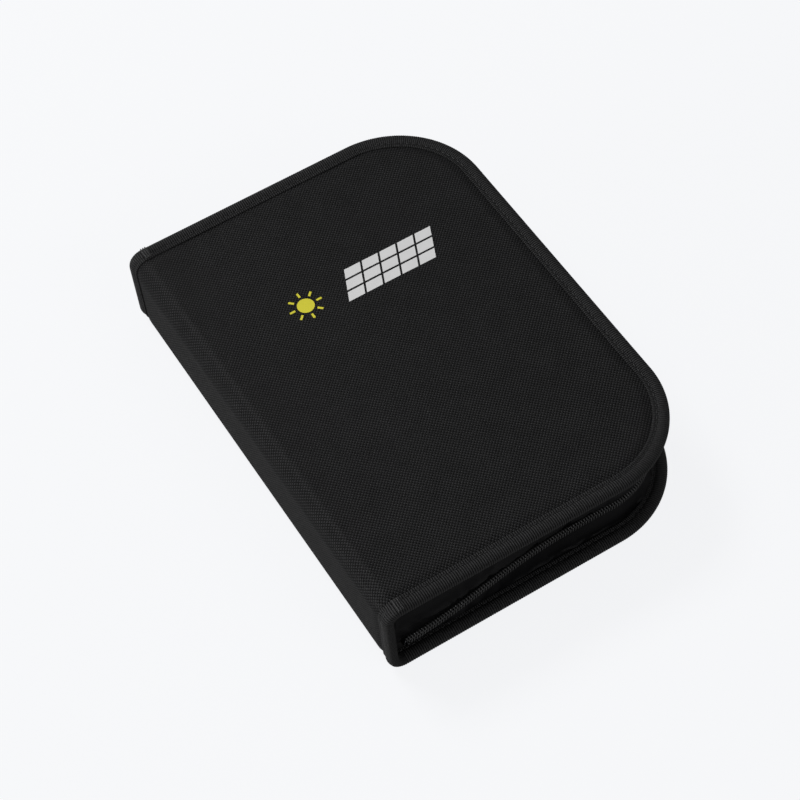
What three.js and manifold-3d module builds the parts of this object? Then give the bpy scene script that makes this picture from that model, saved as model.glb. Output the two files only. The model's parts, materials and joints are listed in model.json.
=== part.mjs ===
// A folding solar blanket, folded inside its own zipped, book-shaped fabric case.
// Millimetres, +Z up. The case lies on its lower cover with the spine along Y on the -X side.
// The origin is under the middle of the case, on the surface that it rests on.
import * as THREE from 'three';
import Module from 'manifold-3d';
import { mergeVertices } from 'three/addons/utils/BufferGeometryUtils.js';

const wasm = await Module();
wasm.setup();

// Case
const caseLength = 240;           // along the spine, Y
const caseWidth = 168;            // from the spine to the free edge, X
const spineHeight = 45;           // outside height at the spine
const cornerRadius = 47;          // the two big corners on the free side
const lidTilt = THREE.MathUtils.degToRad(0);      // any slope of the closed lid down to the free edge
const gap = 0.3;                  // kept between pieces that touch
const overlap = 0.1;              // between two shapes that are joined into one piece
const cornerSteps = 14;

// Covers, spine and binding tape
const coverThickness = 4;
const clothThickness = 0.7;
const boardThickness = 2;
const bindingWidth = 7.4;
const halfLength = caseLength / 2;
const halfWidth = caseWidth / 2;
const spineX = -halfWidth;                           // outer face of the spine, and both hinge axes
const coverStartX = spineX + coverThickness + gap;   // where the covers begin

// Side walls and zipper
const wallInset = 8;              // from the cover's edge to the wall's outer face
const wallThickness = 0.8;
const wallStartX = spineX + coverThickness + 0.5;
const chainHeightAtSpine = 21;    // the line where the two zipper halves meet
const chainHeightAtFreeEdge = 15;
const tapeWidth = 8.4;
const coilWidth = 2.85;           // one row of teeth
const coilDepth = 2.2;
const coilStartX = -74;
const endStopLength = 3;

// Solar leaves, folded like an accordion in the half next to the free edge
const leafCount = 5;
const leafHingeX = 61;            // hinge line next to the free edge
const leafSpan = 57;              // from the hinge line to the leaf's other edge
const leafEdge = 0.5;             // from a hinge line to the leaf beside it
const leafHalfLength = 86;
const leafBaseZ = 16;
const leafPitch = 2.5;
const leafBoardThickness = 1.4;
const cellThickness = 0.5;
const leafThickness = leafBoardThickness + gap + cellThickness;
const cellMargin = 3;
const hingeWebThickness = 0.4;
const pocketWall = 1;
const lidPanel = { left: -72, right: 62, halfLength: 84 };
const grommetHole = 2.5;
const grommetBarrel = 3;
const grommetFlange = 0.7;
const grommetRadius = 4.5;
const grommetInset = 8;

// Charge controller, in the half next to the spine
const controller = { x: -40, y: 0, z: coverThickness + gap, width: 64, length: 96, wall: 1.8 };
const trayHeight = 14;
const lidPlateThickness = 2.2;
const boardLift = 3;
const circuitBoardThickness = 1.6;
const socket = { width: 14.4, height: 6.6, depth: 15, wall: 0.8 };
const socketSpacing = 26;
const buttonRadius = 4.5;
const buttonRise = 1.2;
const buttonDepth = 3;
const buttonY = 20;
const lensRadius = 2;
const lensY = 34;
const screwInset = 6;
const screwRadius = 1.3;
const screwHeadRadius = 2.6;
const screwDepth = 5;
const postRadius = 3;

// Slider and pull tab, parked at the far end of the zipper
const slider = {
  x: -64,
  length: 11,
  height: 8.8,
  plate: 1.2,
  hookDrop: 0.6,
  bridge: { width: 1.8, height: 3.3, leg: 1.2, bar: 0.9 },
};
const pullTab = { length: 26, width: 7, thickness: 1.4, pinInset: 3.6, standOff: 0.6, eyeEnd: 8 };

const polyester = new THREE.MeshStandardMaterial({ color: 0x1b1b1d, roughness: 0.85, metalness: 0 });
const grosgrain = new THREE.MeshStandardMaterial({ color: 0x252527, roughness: 0.7, metalness: 0 });
const taffeta = new THREE.MeshStandardMaterial({ color: 0x101012, roughness: 0.55, metalness: 0 });
const coilPlastic = new THREE.MeshStandardMaterial({ color: 0x2a2a2c, roughness: 0.4, metalness: 0 });
const board = new THREE.MeshStandardMaterial({ color: 0x8d8f90, roughness: 0.8, metalness: 0 });
const solarFilm = new THREE.MeshStandardMaterial({ color: 0x10182c, roughness: 0.2, metalness: 0.1 });
const blackPlastic = new THREE.MeshStandardMaterial({ color: 0x161617, roughness: 0.45, metalness: 0 });
const circuitGreen = new THREE.MeshStandardMaterial({ color: 0x1d5a35, roughness: 0.5, metalness: 0 });
const steel = new THREE.MeshStandardMaterial({ color: 0xb9bbbd, roughness: 0.3, metalness: 0.9 });
const gunmetal = new THREE.MeshStandardMaterial({ color: 0x3a3b3d, roughness: 0.35, metalness: 0.8 });
const buttonYellow = new THREE.MeshStandardMaterial({ color: 0xd9c93a, roughness: 0.5, metalness: 0 });
const lensWhite = new THREE.MeshStandardMaterial({ color: 0xe8e8e4, roughness: 0.2, metalness: 0 });

const blanket = new THREE.Group();

function addPiece(parent, name, geometry, material) {
  const mesh = new THREE.Mesh(geometry, material);
  mesh.name = name;
  parent.add(mesh);
  return mesh;
}

function toSolid(geometry) {
  const bare = geometry.clone();
  bare.deleteAttribute('normal');
  bare.deleteAttribute('uv');
  const merged = mergeVertices(bare, 1e-4);
  return new wasm.Manifold(new wasm.Mesh({
    numProp: 3,
    vertProperties: new Float32Array(merged.attributes.position.array),
    triVerts: new Uint32Array(merged.index.array),
  }));
}

function toGeometry(solid) {
  const mesh = solid.getMesh();
  const geometry = new THREE.BufferGeometry();
  geometry.setAttribute('position', new THREE.BufferAttribute(new Float32Array(mesh.vertProperties), 3));
  geometry.setIndex(new THREE.BufferAttribute(new Uint32Array(mesh.triVerts), 1));
  return geometry;
}

function cut(geometry, ...tools) {
  let solid = toSolid(geometry);
  for (const tool of tools) {
    solid = solid.subtract(toSolid(tool));
  }
  return toGeometry(solid);
}

function join(geometry, ...others) {
  let solid = toSolid(geometry);
  for (const other of others) {
    solid = solid.add(toSolid(other));
  }
  return toGeometry(solid);
}

function block(x0, x1, y0, y1, z0, z1) {
  const geometry = new THREE.BoxGeometry(x1 - x0, y1 - y0, z1 - z0);
  return geometry.translate((x0 + x1) / 2, (y0 + y1) / 2, (z0 + z1) / 2);
}

function upright(radius, x, y, z0, z1, sides = 32) {
  const geometry = new THREE.CylinderGeometry(radius, radius, z1 - z0, sides);
  return geometry.rotateX(Math.PI / 2).translate(x, y, (z0 + z1) / 2);
}

// The cover's three free sides, set in from its edge: near side, free side, far side.
function coverPath(inset, startX) {
  const points = [];
  const radius = cornerRadius - inset;
  const centreX = halfWidth - cornerRadius;
  points.push(new THREE.Vector2(startX, -(halfLength - inset)));
  for (const [side, from] of [[-1, -Math.PI / 2], [1, 0]]) {
    for (let step = 0; step <= cornerSteps; step++) {
      const angle = from + (step / cornerSteps) * (Math.PI / 2);
      const centreY = side * (halfLength - cornerRadius);
      const x = centreX + radius * Math.cos(angle);
      points.push(new THREE.Vector2(x, centreY + radius * Math.sin(angle)));
    }
  }
  points.push(new THREE.Vector2(startX, halfLength - inset));
  return points;
}

function coverPlate(inset, startX, z0, z1) {
  const shape = new THREE.Shape(coverPath(inset, startX));
  const geometry = new THREE.ExtrudeGeometry(shape, { depth: z1 - z0, bevelEnabled: false });
  return geometry.translate(0, 0, z0);
}

// Sweeps a closed section round the three free sides. A section point is [inset, height], from the
// outer lower corner upwards, and a height may be a number or a function of X.
function sweepRoundCover(section, startX) {
  const rails = section.map(([inset]) => coverPath(inset, startX));
  const count = rails[0].length;
  const corners = section.length;
  const positions = [];
  const index = [];
  for (let i = 0; i < count; i++) {
    section.forEach(([, height], k) => {
      const point = rails[k][i];
      const z = typeof height === 'function' ? height(point.x) : height;
      positions.push(point.x, point.y, z);
    });
  }
  for (let i = 0; i < count - 1; i++) {
    for (let k = 0; k < corners; k++) {
      const next = (k + 1) % corners;
      const a = i * corners + k;
      const b = (i + 1) * corners + k;
      const c = (i + 1) * corners + next;
      const d = i * corners + next;
      index.push(a, b, c, a, c, d);
    }
  }
  const flat = section.map(([inset], k) => new THREE.Vector2(inset, positions[3 * k + 2]));
  const last = (count - 1) * corners;
  for (const [a, b, c] of THREE.ShapeUtils.triangulateShape(flat, [])) {
    const turn = new THREE.Vector2().subVectors(flat[b], flat[a])
      .cross(new THREE.Vector2().subVectors(flat[c], flat[a]));
    const [p, q] = turn < 0 ? [b, c] : [c, b];
    index.push(a, p, q, last + a, last + q, last + p);
  }
  const geometry = new THREE.BufferGeometry();
  geometry.setAttribute('position', new THREE.Float32BufferAttribute(positions, 3));
  geometry.setIndex(index);
  return geometry;
}

// Binding tape folded over a cover's edge: a channel that opens inwards.
function bindingSection(z0, z1) {
  return [
    [0, z0], [0, z1], [bindingWidth, z1], [bindingWidth, z1 - clothThickness],
    [clothThickness, z1 - clothThickness], [clothThickness, z0 + clothThickness],
    [bindingWidth, z0 + clothThickness], [bindingWidth, z0],
  ];
}

function wallSection(z0, z1) {
  const outer = wallInset;
  const inner = wallInset + wallThickness;
  return [[outer, z0], [outer, z1], [inner, z1], [inner, z0]];
}

function coilSection(z0, z1) {
  const inner = wallInset - gap;
  const outer = inner - coilDepth;
  return [[outer, z0], [outer, z1], [inner, z1], [inner, z0]];
}

function chainHeight(x) {
  const along = (x - spineX) / caseWidth;
  return THREE.MathUtils.lerp(chainHeightAtSpine, chainHeightAtFreeEdge, along);
}

// Height of the lid's underside above the table.
function ceiling(x) {
  return spineHeight - coverThickness / Math.cos(lidTilt) - (x - spineX) * Math.tan(lidTilt);
}

function above(height, offset) {
  return (x) => height(x) + offset;
}

// One cover: outer cloth, stiff board, lining and binding tape.
function addCover(parent, prefix, z0, clothBelow) {
  const z1 = z0 + coverThickness;
  const faceInset = bindingWidth + gap;
  const low = coverPlate(faceInset, coverStartX, z0, z0 + clothThickness);
  const high = coverPlate(faceInset, coverStartX, z1 - clothThickness, z1);
  const boardLow = z0 + (coverThickness - boardThickness) / 2;
  addPiece(parent, `${prefix}_cover_cloth`, clothBelow ? low : high, polyester);
  addPiece(parent, `${prefix}_cover_board`,
    coverPlate(clothThickness + gap, coverStartX, boardLow, boardLow + boardThickness), board);
  addPiece(parent, `${prefix}_cover_lining`, clothBelow ? high : low, taffeta);
  addPiece(parent, `${prefix}_binding`, sweepRoundCover(bindingSection(z0, z1), coverStartX), grosgrain);
}

function addLowerCase(parent) {
  addCover(parent, 'lower', 0, true);
  const tapeTop = above(chainHeight, -gap / 2);
  const tapeFoot = above(chainHeight, -tapeWidth - gap / 2);
  addPiece(parent, 'lower_gusset',
    sweepRoundCover(wallSection(coverThickness + gap, above(tapeFoot, -gap)), wallStartX), taffeta);
  addPiece(parent, 'lower_zipper_tape',
    sweepRoundCover(wallSection(tapeFoot, tapeTop), wallStartX), grosgrain);
  const coilFoot = above(chainHeight, -gap / 2 - coilWidth);
  addPiece(parent, 'lower_zipper_coil',
    sweepRoundCover(coilSection(coilFoot, tapeTop), coilStartX), coilPlastic);
  const stopIn = -(halfLength - wallInset + gap);
  const stopZ = chainHeight(coilStartX);
  addPiece(parent, 'zipper_end_stop',
    block(coilStartX - endStopLength, coilStartX - gap, stopIn - coilDepth, stopIn,
      stopZ - coilWidth, stopZ + coilWidth), steel);
}

function addUpperCase(parent) {
  const tapeFoot = above(chainHeight, gap / 2);
  const tapeTop = above(chainHeight, tapeWidth + gap / 2);
  const coilTop = above(chainHeight, gap / 2 + coilWidth);
  addPiece(parent, 'upper_zipper_coil',
    sweepRoundCover(coilSection(tapeFoot, coilTop), coilStartX), coilPlastic);
  addPiece(parent, 'upper_zipper_tape',
    sweepRoundCover(wallSection(tapeFoot, tapeTop), wallStartX), grosgrain);
  addPiece(parent, 'upper_gusset',
    sweepRoundCover(wallSection(above(tapeTop, gap), above(ceiling, -gap)), wallStartX), taffeta);
  // The lid turns about the spine's upper edge, so its pieces are drawn flat and tilted together.
  const lid = new THREE.Group();
  lid.position.set(spineX, 0, spineHeight);
  lid.rotation.y = lidTilt;
  const flat = new THREE.Group();
  flat.position.set(-spineX, 0, -spineHeight);
  lid.add(flat);
  parent.add(lid);
  addCover(flat, 'upper', spineHeight - coverThickness, false);
  addLidPanel(flat, spineHeight - coverThickness - gap);
}

// The blanket's end panel, sewn under the lid with its cells facing down.
function addLidPanel(parent, top) {
  const panelFloor = top - leafBoardThickness;
  const { left, right, halfLength: half } = lidPanel;
  addPiece(parent, 'lid_panel', block(left, right, -half, half, panelFloor, top), polyester);
  addPiece(parent, 'lid_cells',
    block(left + cellMargin, right - cellMargin, cellMargin - half, half - cellMargin,
      panelFloor - gap - cellThickness, panelFloor - gap), solarFilm);
}

function addSpine(parent) {
  const faceHalf = halfLength - bindingWidth - gap;
  const inside = spineX + coverThickness;
  const boardX = spineX + (coverThickness - boardThickness) / 2;
  const boardHalf = halfLength - clothThickness - gap;
  addPiece(parent, 'spine_cloth',
    block(spineX, spineX + clothThickness, -faceHalf, faceHalf, gap, spineHeight - gap), polyester);
  addPiece(parent, 'spine_board',
    block(boardX, boardX + boardThickness, -boardHalf, boardHalf, 1, spineHeight - 1), board);
  addPiece(parent, 'spine_lining',
    block(inside - clothThickness, inside, -faceHalf, faceHalf, gap, spineHeight - gap), taffeta);
  for (const [name, side] of [['near', -1], ['far', 1]]) {
    const slot = block(spineX + clothThickness, inside - clothThickness,
      side * halfLength - bindingWidth - 1, side * halfLength + bindingWidth + 1, -1, spineHeight + 1);
    slot.translate(0, -side * (bindingWidth + 1 + clothThickness), 0);
    const edges = [side * halfLength, side * (halfLength - bindingWidth)].sort((a, b) => a - b);
    const strip = block(spineX, inside, edges[0], edges[1], gap, spineHeight - gap);
    addPiece(parent, `spine_binding_${name}`, cut(strip, slot), grosgrain);
  }
}

function leafFloor(number) {
  return leafBaseZ + (number - 1) * leafPitch;
}

// Leaves 1, 3 and 5 lie with their cells up, and 2 and 4 with their cells down.
function addLeaf(parent, number) {
  const left = leafHingeX - leafSpan;
  const right = leafHingeX - leafEdge;
  const floor = leafFloor(number);
  const cellsUp = number % 2 === 1;
  const boardFloor = cellsUp ? floor : floor + cellThickness + gap;
  const cellFloor = cellsUp ? floor + leafBoardThickness + gap : floor;
  const isOuter = number === leafCount;
  const cellHalf = leafHalfLength - (isOuter ? 2 * grommetInset : cellMargin);
  let sheet = block(left, right, -leafHalfLength, leafHalfLength,
    boardFloor, boardFloor + leafBoardThickness);
  if (isOuter) {
    const holes = [-1, 1].map((side) => upright(grommetBarrel + gap, right - grommetInset,
      side * (leafHalfLength - grommetInset), floor - 1, floor + leafPitch));
    sheet = cut(sheet, ...holes);
  }
  addPiece(parent, `leaf_${number}_panel`, sheet, polyester);
  addPiece(parent, `leaf_${number}_cells`,
    block(left + cellMargin, right - cellMargin, -cellHalf, cellHalf,
      cellFloor, cellFloor + cellThickness), solarFilm);
}

// Fabric hinge between two leaves: a strip that stands beside both folded edges.
function addHingeWeb(parent, number) {
  const atFreeEdge = number % 2 === 1;
  const x = atFreeEdge ? leafHingeX : leafHingeX - leafSpan - leafEdge;
  addPiece(parent, `hinge_web_${number}_${number + 1}`,
    block(x - hingeWebThickness / 2, x + hingeWebThickness / 2, -leafHalfLength, leafHalfLength,
      leafFloor(number), leafFloor(number + 1) + leafThickness), grosgrain);
}

function addGrommets(parent) {
  const floor = leafFloor(leafCount);
  const top = floor + leafBoardThickness;
  const x = leafHingeX - leafEdge - grommetInset;
  for (const [name, side] of [['near', -1], ['far', 1]]) {
    const y = side * (leafHalfLength - grommetInset);
    const flangeFoot = top + gap;
    const ring = cut(
      join(upright(grommetBarrel, x, y, floor, flangeFoot + overlap),
        upright(grommetRadius, x, y, flangeFoot, flangeFoot + grommetFlange)),
      upright(grommetHole, x, y, floor - 1, top + leafPitch));
    addPiece(parent, `grommet_${name}`, ring, steel);
  }
}

// Flat pocket for leads under the leaves, open towards the spine.
function addPocket(parent) {
  const left = leafHingeX - leafSpan;
  const right = leafHingeX - leafEdge;
  const floor = coverThickness + gap;
  const top = leafBaseZ - gap;
  const outer = block(left, right, -leafHalfLength, leafHalfLength, floor, top);
  const hollow = block(left - 1, right - pocketWall, pocketWall - leafHalfLength,
    leafHalfLength - pocketWall, floor - 1, top - pocketWall);
  addPiece(parent, 'lead_pocket', cut(outer, hollow), taffeta);
}

// Where the controller's levels, sockets and screws are.
function controllerPlan() {
  const { x, y, z, width, length, wall } = controller;
  const rim = z + trayHeight;
  const boardFloor = z + wall + boardLift;
  const screwSpots = [];
  for (const sideX of [-1, 1]) {
    for (const sideY of [-1, 1]) {
      screwSpots.push([x + sideX * (width / 2 - screwInset), y + sideY * (length / 2 - screwInset)]);
    }
  }
  return {
    x0: x - width / 2,
    x1: x + width / 2,
    y0: y - length / 2,
    y1: y + length / 2,
    rim,
    boardFloor,
    lidTop: rim + gap + lidPlateThickness,
    socketFloor: boardFloor + circuitBoardThickness + gap,
    socketXs: [x - socketSpacing / 2, x + socketSpacing / 2],
    screwSpots,
  };
}

function addControllerTray(parent, plan) {
  const { z, wall } = controller;
  const { x0, x1, y0, y1, rim } = plan;
  const openTray = cut(block(x0, x1, y0, y1, z, rim),
    block(x0 + wall, x1 - wall, y0 + wall, y1 - wall, z + wall, rim + 1));
  const posts = plan.screwSpots.map(([x, y]) =>
    upright(postRadius, x, y, z + wall - overlap, rim - gap, 20));
  const postHoles = plan.screwSpots.map(([x, y]) =>
    upright(screwRadius + gap, x, y, z + 2 * wall, rim + 1, 20));
  const notches = plan.socketXs.map((x) => block(x - socket.width / 2 - gap, x + socket.width / 2 + gap,
    y0 - 1, y0 + wall + 1, plan.socketFloor - gap, rim + 1));
  addPiece(parent, 'controller_tray', cut(join(openTray, ...posts), ...notches, ...postHoles), blackPlastic);
}

function addCircuitBoard(parent, plan) {
  const edge = controller.wall + 1;
  const { x0, x1, y0, y1, boardFloor } = plan;
  const top = boardFloor + circuitBoardThickness;
  const sheet = block(x0 + edge, x1 - edge, y0 + edge, y1 - edge, boardFloor, top);
  // A square is cut out of each corner, for the screw's post.
  const reach = screwInset + postRadius + gap;
  const corners = plan.screwSpots.map(([x, y]) => {
    const cornerX = x < controller.x ? x0 : x1 - reach;
    const cornerY = y < controller.y ? y0 : y1 - reach;
    return block(cornerX, cornerX + reach, cornerY, cornerY + reach, boardFloor - 1, top + 1);
  });
  addPiece(parent, 'circuit_board', cut(sheet, ...corners), circuitGreen);
}

function addSockets(parent, plan) {
  const front = plan.y0 + 0.2;
  const floor = plan.socketFloor;
  plan.socketXs.forEach((x, i) => {
    const shell = block(x - socket.width / 2, x + socket.width / 2, front, front + socket.depth,
      floor, floor + socket.height);
    const mouth = block(x - socket.width / 2 + socket.wall, x + socket.width / 2 - socket.wall,
      front - 1, front + socket.depth - socket.wall, floor + socket.wall, floor + socket.height - socket.wall);
    addPiece(parent, `usb_socket_${i + 1}`, cut(shell, mouth), steel);
  });
}

function addControllerTop(parent, plan) {
  const { x0, x1, y0, y1, rim, lidTop } = plan;
  const { x } = controller;
  const foot = rim - buttonDepth;
  const holes = plan.screwSpots.map(([px, py]) => upright(screwRadius + gap, px, py, rim - 1, lidTop + 1, 20));
  holes.push(upright(buttonRadius + gap, x, buttonY, rim - 1, lidTop + 1));
  holes.push(upright(lensRadius + gap, x, lensY, rim - 1, lidTop + 1));
  addPiece(parent, 'controller_lid', cut(block(x0, x1, y0, y1, rim + gap, lidTop), ...holes), blackPlastic);
  addPiece(parent, 'power_button', join(
    upright(buttonRadius, x, buttonY, foot, lidTop + buttonRise),
    upright(buttonRadius + 1.5, x, buttonY, foot, rim - gap)), buttonYellow);
  addPiece(parent, 'status_lens', upright(lensRadius, x, lensY, foot, lidTop + 0.2, 24), lensWhite);
  plan.screwSpots.forEach(([px, py], i) => {
    const headFoot = lidTop + gap;
    addPiece(parent, `lid_screw_${i + 1}`, join(
      upright(screwRadius, px, py, rim - screwDepth, headFoot + overlap, 20),
      upright(screwHeadRadius, px, py, headFoot, headFoot + 1.2, 20)), gunmetal);
  });
}

function addController(parent) {
  const plan = controllerPlan();
  addControllerTray(parent, plan);
  addCircuitBoard(parent, plan);
  addSockets(parent, plan);
  addControllerTop(parent, plan);
}

// The slider hooks under the lower row of teeth. Its bridge holds the pull tab's cross pin.
function addSlider(parent) {
  const { x, length, height, plate, bridge, hookDrop } = slider;
  const x0 = x - length / 2;
  const x1 = x + length / 2;
  const middle = chainHeight(x);
  const plateIn = halfLength - wallInset + gap + coilDepth + gap;
  const plateOut = plateIn + plate;
  const plateTop = middle + height / 2 - hookDrop;
  const hookTop = middle - coilWidth - 1;
  const bridgeOut = plateOut + bridge.height;
  const bridgeBlock = block(x0 + 1, x1 - 1, plateOut - overlap, bridgeOut,
    middle - bridge.width / 2, middle + bridge.width / 2);
  const bridgeWindow = block(x0 + 1 + bridge.leg, x1 - 1 - bridge.leg, plateOut,
    bridgeOut - bridge.bar, middle - bridge.width, middle + bridge.width);
  const body = join(
    block(x0, x1, plateIn, plateOut, plateTop - height, plateTop),
    block(x0, x1, plateIn - coilDepth, plateOut, hookTop - 1, hookTop),
    cut(bridgeBlock, bridgeWindow));
  addPiece(parent, 'zipper_slider', body, gunmetal);
  const pinX = x1 - pullTab.pinInset;
  const half = pullTab.thickness / 2;
  const tabIn = plateOut + pullTab.standOff;
  const tabOut = tabIn + pullTab.thickness;
  const eye = block(pinX + half + 0.1, pinX + pullTab.eyeEnd, tabIn - 1, tabOut + 1,
    middle - bridge.width / 2 - 0.6, middle + bridge.width / 2 + 0.6);
  const tail = block(pinX + 18, pinX + 22.5, tabIn - 1, tabOut + 1, middle - 1.8, middle + 1.8);
  const tab = cut(
    block(pinX - half, pinX + pullTab.length, tabIn, tabOut,
      middle - pullTab.width / 2, middle + pullTab.width / 2), eye, tail);
  addPiece(parent, 'pull_tab', tab, gunmetal);
}

addLowerCase(blanket);
addSpine(blanket);
addUpperCase(blanket);
for (let number = 1; number <= leafCount; number++) {
  addLeaf(blanket, number);
}
for (let number = 1; number < leafCount; number++) {
  addHingeWeb(blanket, number);
}
addGrommets(blanket);
addPocket(blanket);
addController(blanket);
addSlider(blanket);

export default blanket;
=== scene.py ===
import json
import math

import bmesh
import bpy
import numpy as np
from mathutils import Matrix, Vector


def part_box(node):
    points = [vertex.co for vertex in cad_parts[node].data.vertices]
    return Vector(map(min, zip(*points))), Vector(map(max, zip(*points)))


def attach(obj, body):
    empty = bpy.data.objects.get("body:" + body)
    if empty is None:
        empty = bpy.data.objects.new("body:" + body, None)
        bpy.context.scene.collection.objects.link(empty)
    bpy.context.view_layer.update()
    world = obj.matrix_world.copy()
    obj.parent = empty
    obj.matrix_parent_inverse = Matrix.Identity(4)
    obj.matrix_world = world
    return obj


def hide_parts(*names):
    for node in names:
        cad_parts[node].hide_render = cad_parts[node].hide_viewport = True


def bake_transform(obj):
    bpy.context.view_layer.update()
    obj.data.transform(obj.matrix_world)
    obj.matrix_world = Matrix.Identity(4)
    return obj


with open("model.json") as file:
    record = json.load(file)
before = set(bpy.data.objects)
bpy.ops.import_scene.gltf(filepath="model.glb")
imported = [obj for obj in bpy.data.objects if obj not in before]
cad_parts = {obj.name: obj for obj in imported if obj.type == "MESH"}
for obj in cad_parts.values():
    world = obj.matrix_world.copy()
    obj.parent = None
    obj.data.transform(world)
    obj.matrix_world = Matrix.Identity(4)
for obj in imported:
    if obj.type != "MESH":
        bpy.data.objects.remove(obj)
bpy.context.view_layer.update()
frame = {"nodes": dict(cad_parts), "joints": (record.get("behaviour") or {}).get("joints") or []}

# Every measure is in metres, with +X from the spine to the free edge.
joints = {joint["name"]: joint for joint in frame["joints"]}
lidHinge = Vector(joints["lid_hinge"]["pos_m"])
spineHinge = Vector(joints["spine_hinge"]["pos_m"])
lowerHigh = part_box("lower_binding")[1]
halfLength = lowerHigh.y
freeEdgeX = lowerHigh.x
spineX = spineHinge.x
caseWidth = freeEdgeX - spineX

case = {
    "cornerRadius": 0.047,
    "thickness": 0.004,          # of a cover, cloth to lining
    "bindingWidth": 0.0074,
    "foldRadius": 0.0078,        # the cloth's bend at the spine's two long edges
    "lidRise": 0.0006,           # the closed lid's free side stands this much proud in its middle
    "chainAtSpine": 0.021,       # height of the zipper's middle line
    "chainAtFreeEdge": 0.015,
}
coverStartX = spineX + case["foldRadius"]
innerRadius = case["foldRadius"] - case["thickness"]
wallStartX = spineX + case["thickness"] + 0.0002


def onBase(points):
    return np.array(points, float)


# The closed lid lies level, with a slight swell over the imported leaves.
def onLid(points):
    placed = np.array(points, float)
    along = np.clip((placed[..., 0] - spineX) / caseWidth, 0, 1)
    across = np.clip(np.abs(placed[..., 1]) / halfLength, 0, 1)
    placed[..., 2] += case["lidRise"] * np.sin(along * math.pi) * np.cos(across * math.pi / 2)
    return placed


def chainHeight(x):
    share = (np.asarray(x) - spineX) / caseWidth
    return case["chainAtSpine"] + (case["chainAtFreeEdge"] - case["chainAtSpine"]) * share


def smoothStep(low, high, value):
    t = np.clip((np.asarray(value, float) - low) / (high - low), 0, 1)
    return t * t * (3 - 2 * t)


# Node helpers, shared by materials and geometry trees.
def addNode(tree, kind, inputs=None, **settings):
    node = tree.nodes.new(kind)
    for name, value in settings.items():
        setattr(node, name, value)
    for name, value in (inputs or {}).items():
        plug(tree, node.inputs[name], value)
    return node


def plug(tree, socket, value):
    if hasattr(value, "links"):
        tree.links.new(value, socket)
    else:
        socket.default_value = value


def calc(tree, operation, *values):
    return addNode(tree, "ShaderNodeMath", dict(enumerate(values)), operation=operation).outputs[0]


def vectorCalc(tree, operation, *values):
    sockets = (0, 3) if operation == "SCALE" else (0, 1)
    return addNode(tree, "ShaderNodeVectorMath", dict(zip(sockets, values)), operation=operation).outputs[0]


def blendColour(tree, factor, first, second):
    return addNode(tree, "ShaderNodeMix", {0: factor, 6: first, 7: second}, data_type="RGBA").outputs[2]


def newMaterial(name, colour, roughness, **sockets):
    material = bpy.data.materials.new(name)
    material.use_nodes = True
    tree = material.node_tree
    shader = tree.nodes["Principled BSDF"]
    shader.inputs["Base Color"].default_value = (*colour, 1)
    shader.inputs["Roughness"].default_value = roughness
    for label, value in sockets.items():
        shader.inputs[label].default_value = value
    return material, tree, shader


def noise(tree, coordinates, size, detail=3.0):
    return addNode(tree, "ShaderNodeTexNoise",
                   {"Vector": coordinates, "Scale": 1 / size, "Detail": detail}).outputs["Fac"]


def addBump(tree, shader, height, distance):
    node = addNode(tree, "ShaderNodeBump", {"Strength": 1.0, "Distance": distance, "Height": height})
    tree.links.new(node.outputs["Normal"], shader.inputs["Normal"])


def clothCoordinates(tree):
    uv = addNode(tree, "ShaderNodeUVMap", uv_map="cloth").outputs["UV"]
    parts = addNode(tree, "ShaderNodeSeparateXYZ", {0: uv})
    return uv, parts.outputs["X"], parts.outputs["Y"]


def wave(tree, value, pitch):
    return calc(tree, "SINE", calc(tree, "MULTIPLY_ADD", value, math.pi / pitch, 0.0))


# The darkest and lightest shade of a colour.
def shades(colour, dark, light):
    return [tuple(min(part * share, 1) for part in colour) + (1,) for share in (dark, light)]


# Plain weave: where one set of yarns lies on top, the other set dips under it. Its colour carries painted
# light: painted shade in the gaps between yarns, painted glints on the yarn tops, and a painted sheen on the
# yarns lying on top.
def wovenMaterial(name, look):
    material, tree, shader = newMaterial(
        name, look["colour"], look["roughness"],
        **{"Specular IOR Level": look["specular"]})
    uv, u, v = clothCoordinates(tree)
    warp = wave(tree, u, look["pitch"])
    weft = wave(tree, v, look["pitch"])
    hump = calc(tree, "MULTIPLY", calc(tree, "ABSOLUTE", warp), calc(tree, "ABSOLUTE", weft))
    height = calc(tree, "POWER", hump, look["yarnRound"])
    over = calc(tree, "GREATER_THAN", calc(tree, "MULTIPLY", warp, weft), 0.0)
    patches = noise(tree, uv, look["patchSize"])
    # Painted sheen: the yarns lying on top are painted lighter.
    yarn = calc(tree, "MULTIPLY", over, look["paintedYarnSheen"])
    # Painted shade: the gaps between yarns are painted darker than the yarn tops.
    gapShading = calc(tree, "MULTIPLY_ADD", height, look["paintedGapShade"], 1 - look["paintedGapShade"])
    shade = calc(tree, "ADD", gapShading, yarn)
    shade = calc(tree, "MULTIPLY", shade, calc(tree, "MULTIPLY_ADD", patches, 0.5, 0.75))
    shade = calc(tree, "MULTIPLY", shade, look["brightness"])
    # The colour runs from painted shade in the gaps up to a painted glint on the yarn tops.
    tree.links.new(blendColour(tree, shade, *shades(look["colour"], 0.04, look["paintedGlintShare"])),
                   shader.inputs["Base Color"])
    rough = calc(tree, "MULTIPLY_ADD", patches, 0.2, look["roughness"] - 0.1)
    tree.links.new(calc(tree, "MULTIPLY_ADD", over, -0.06, rough), shader.inputs["Roughness"])
    tilt = calc(tree, "MULTIPLY_ADD", over, 0.25, height)
    addBump(tree, shader, tilt, look["bump"])
    return material
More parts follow.
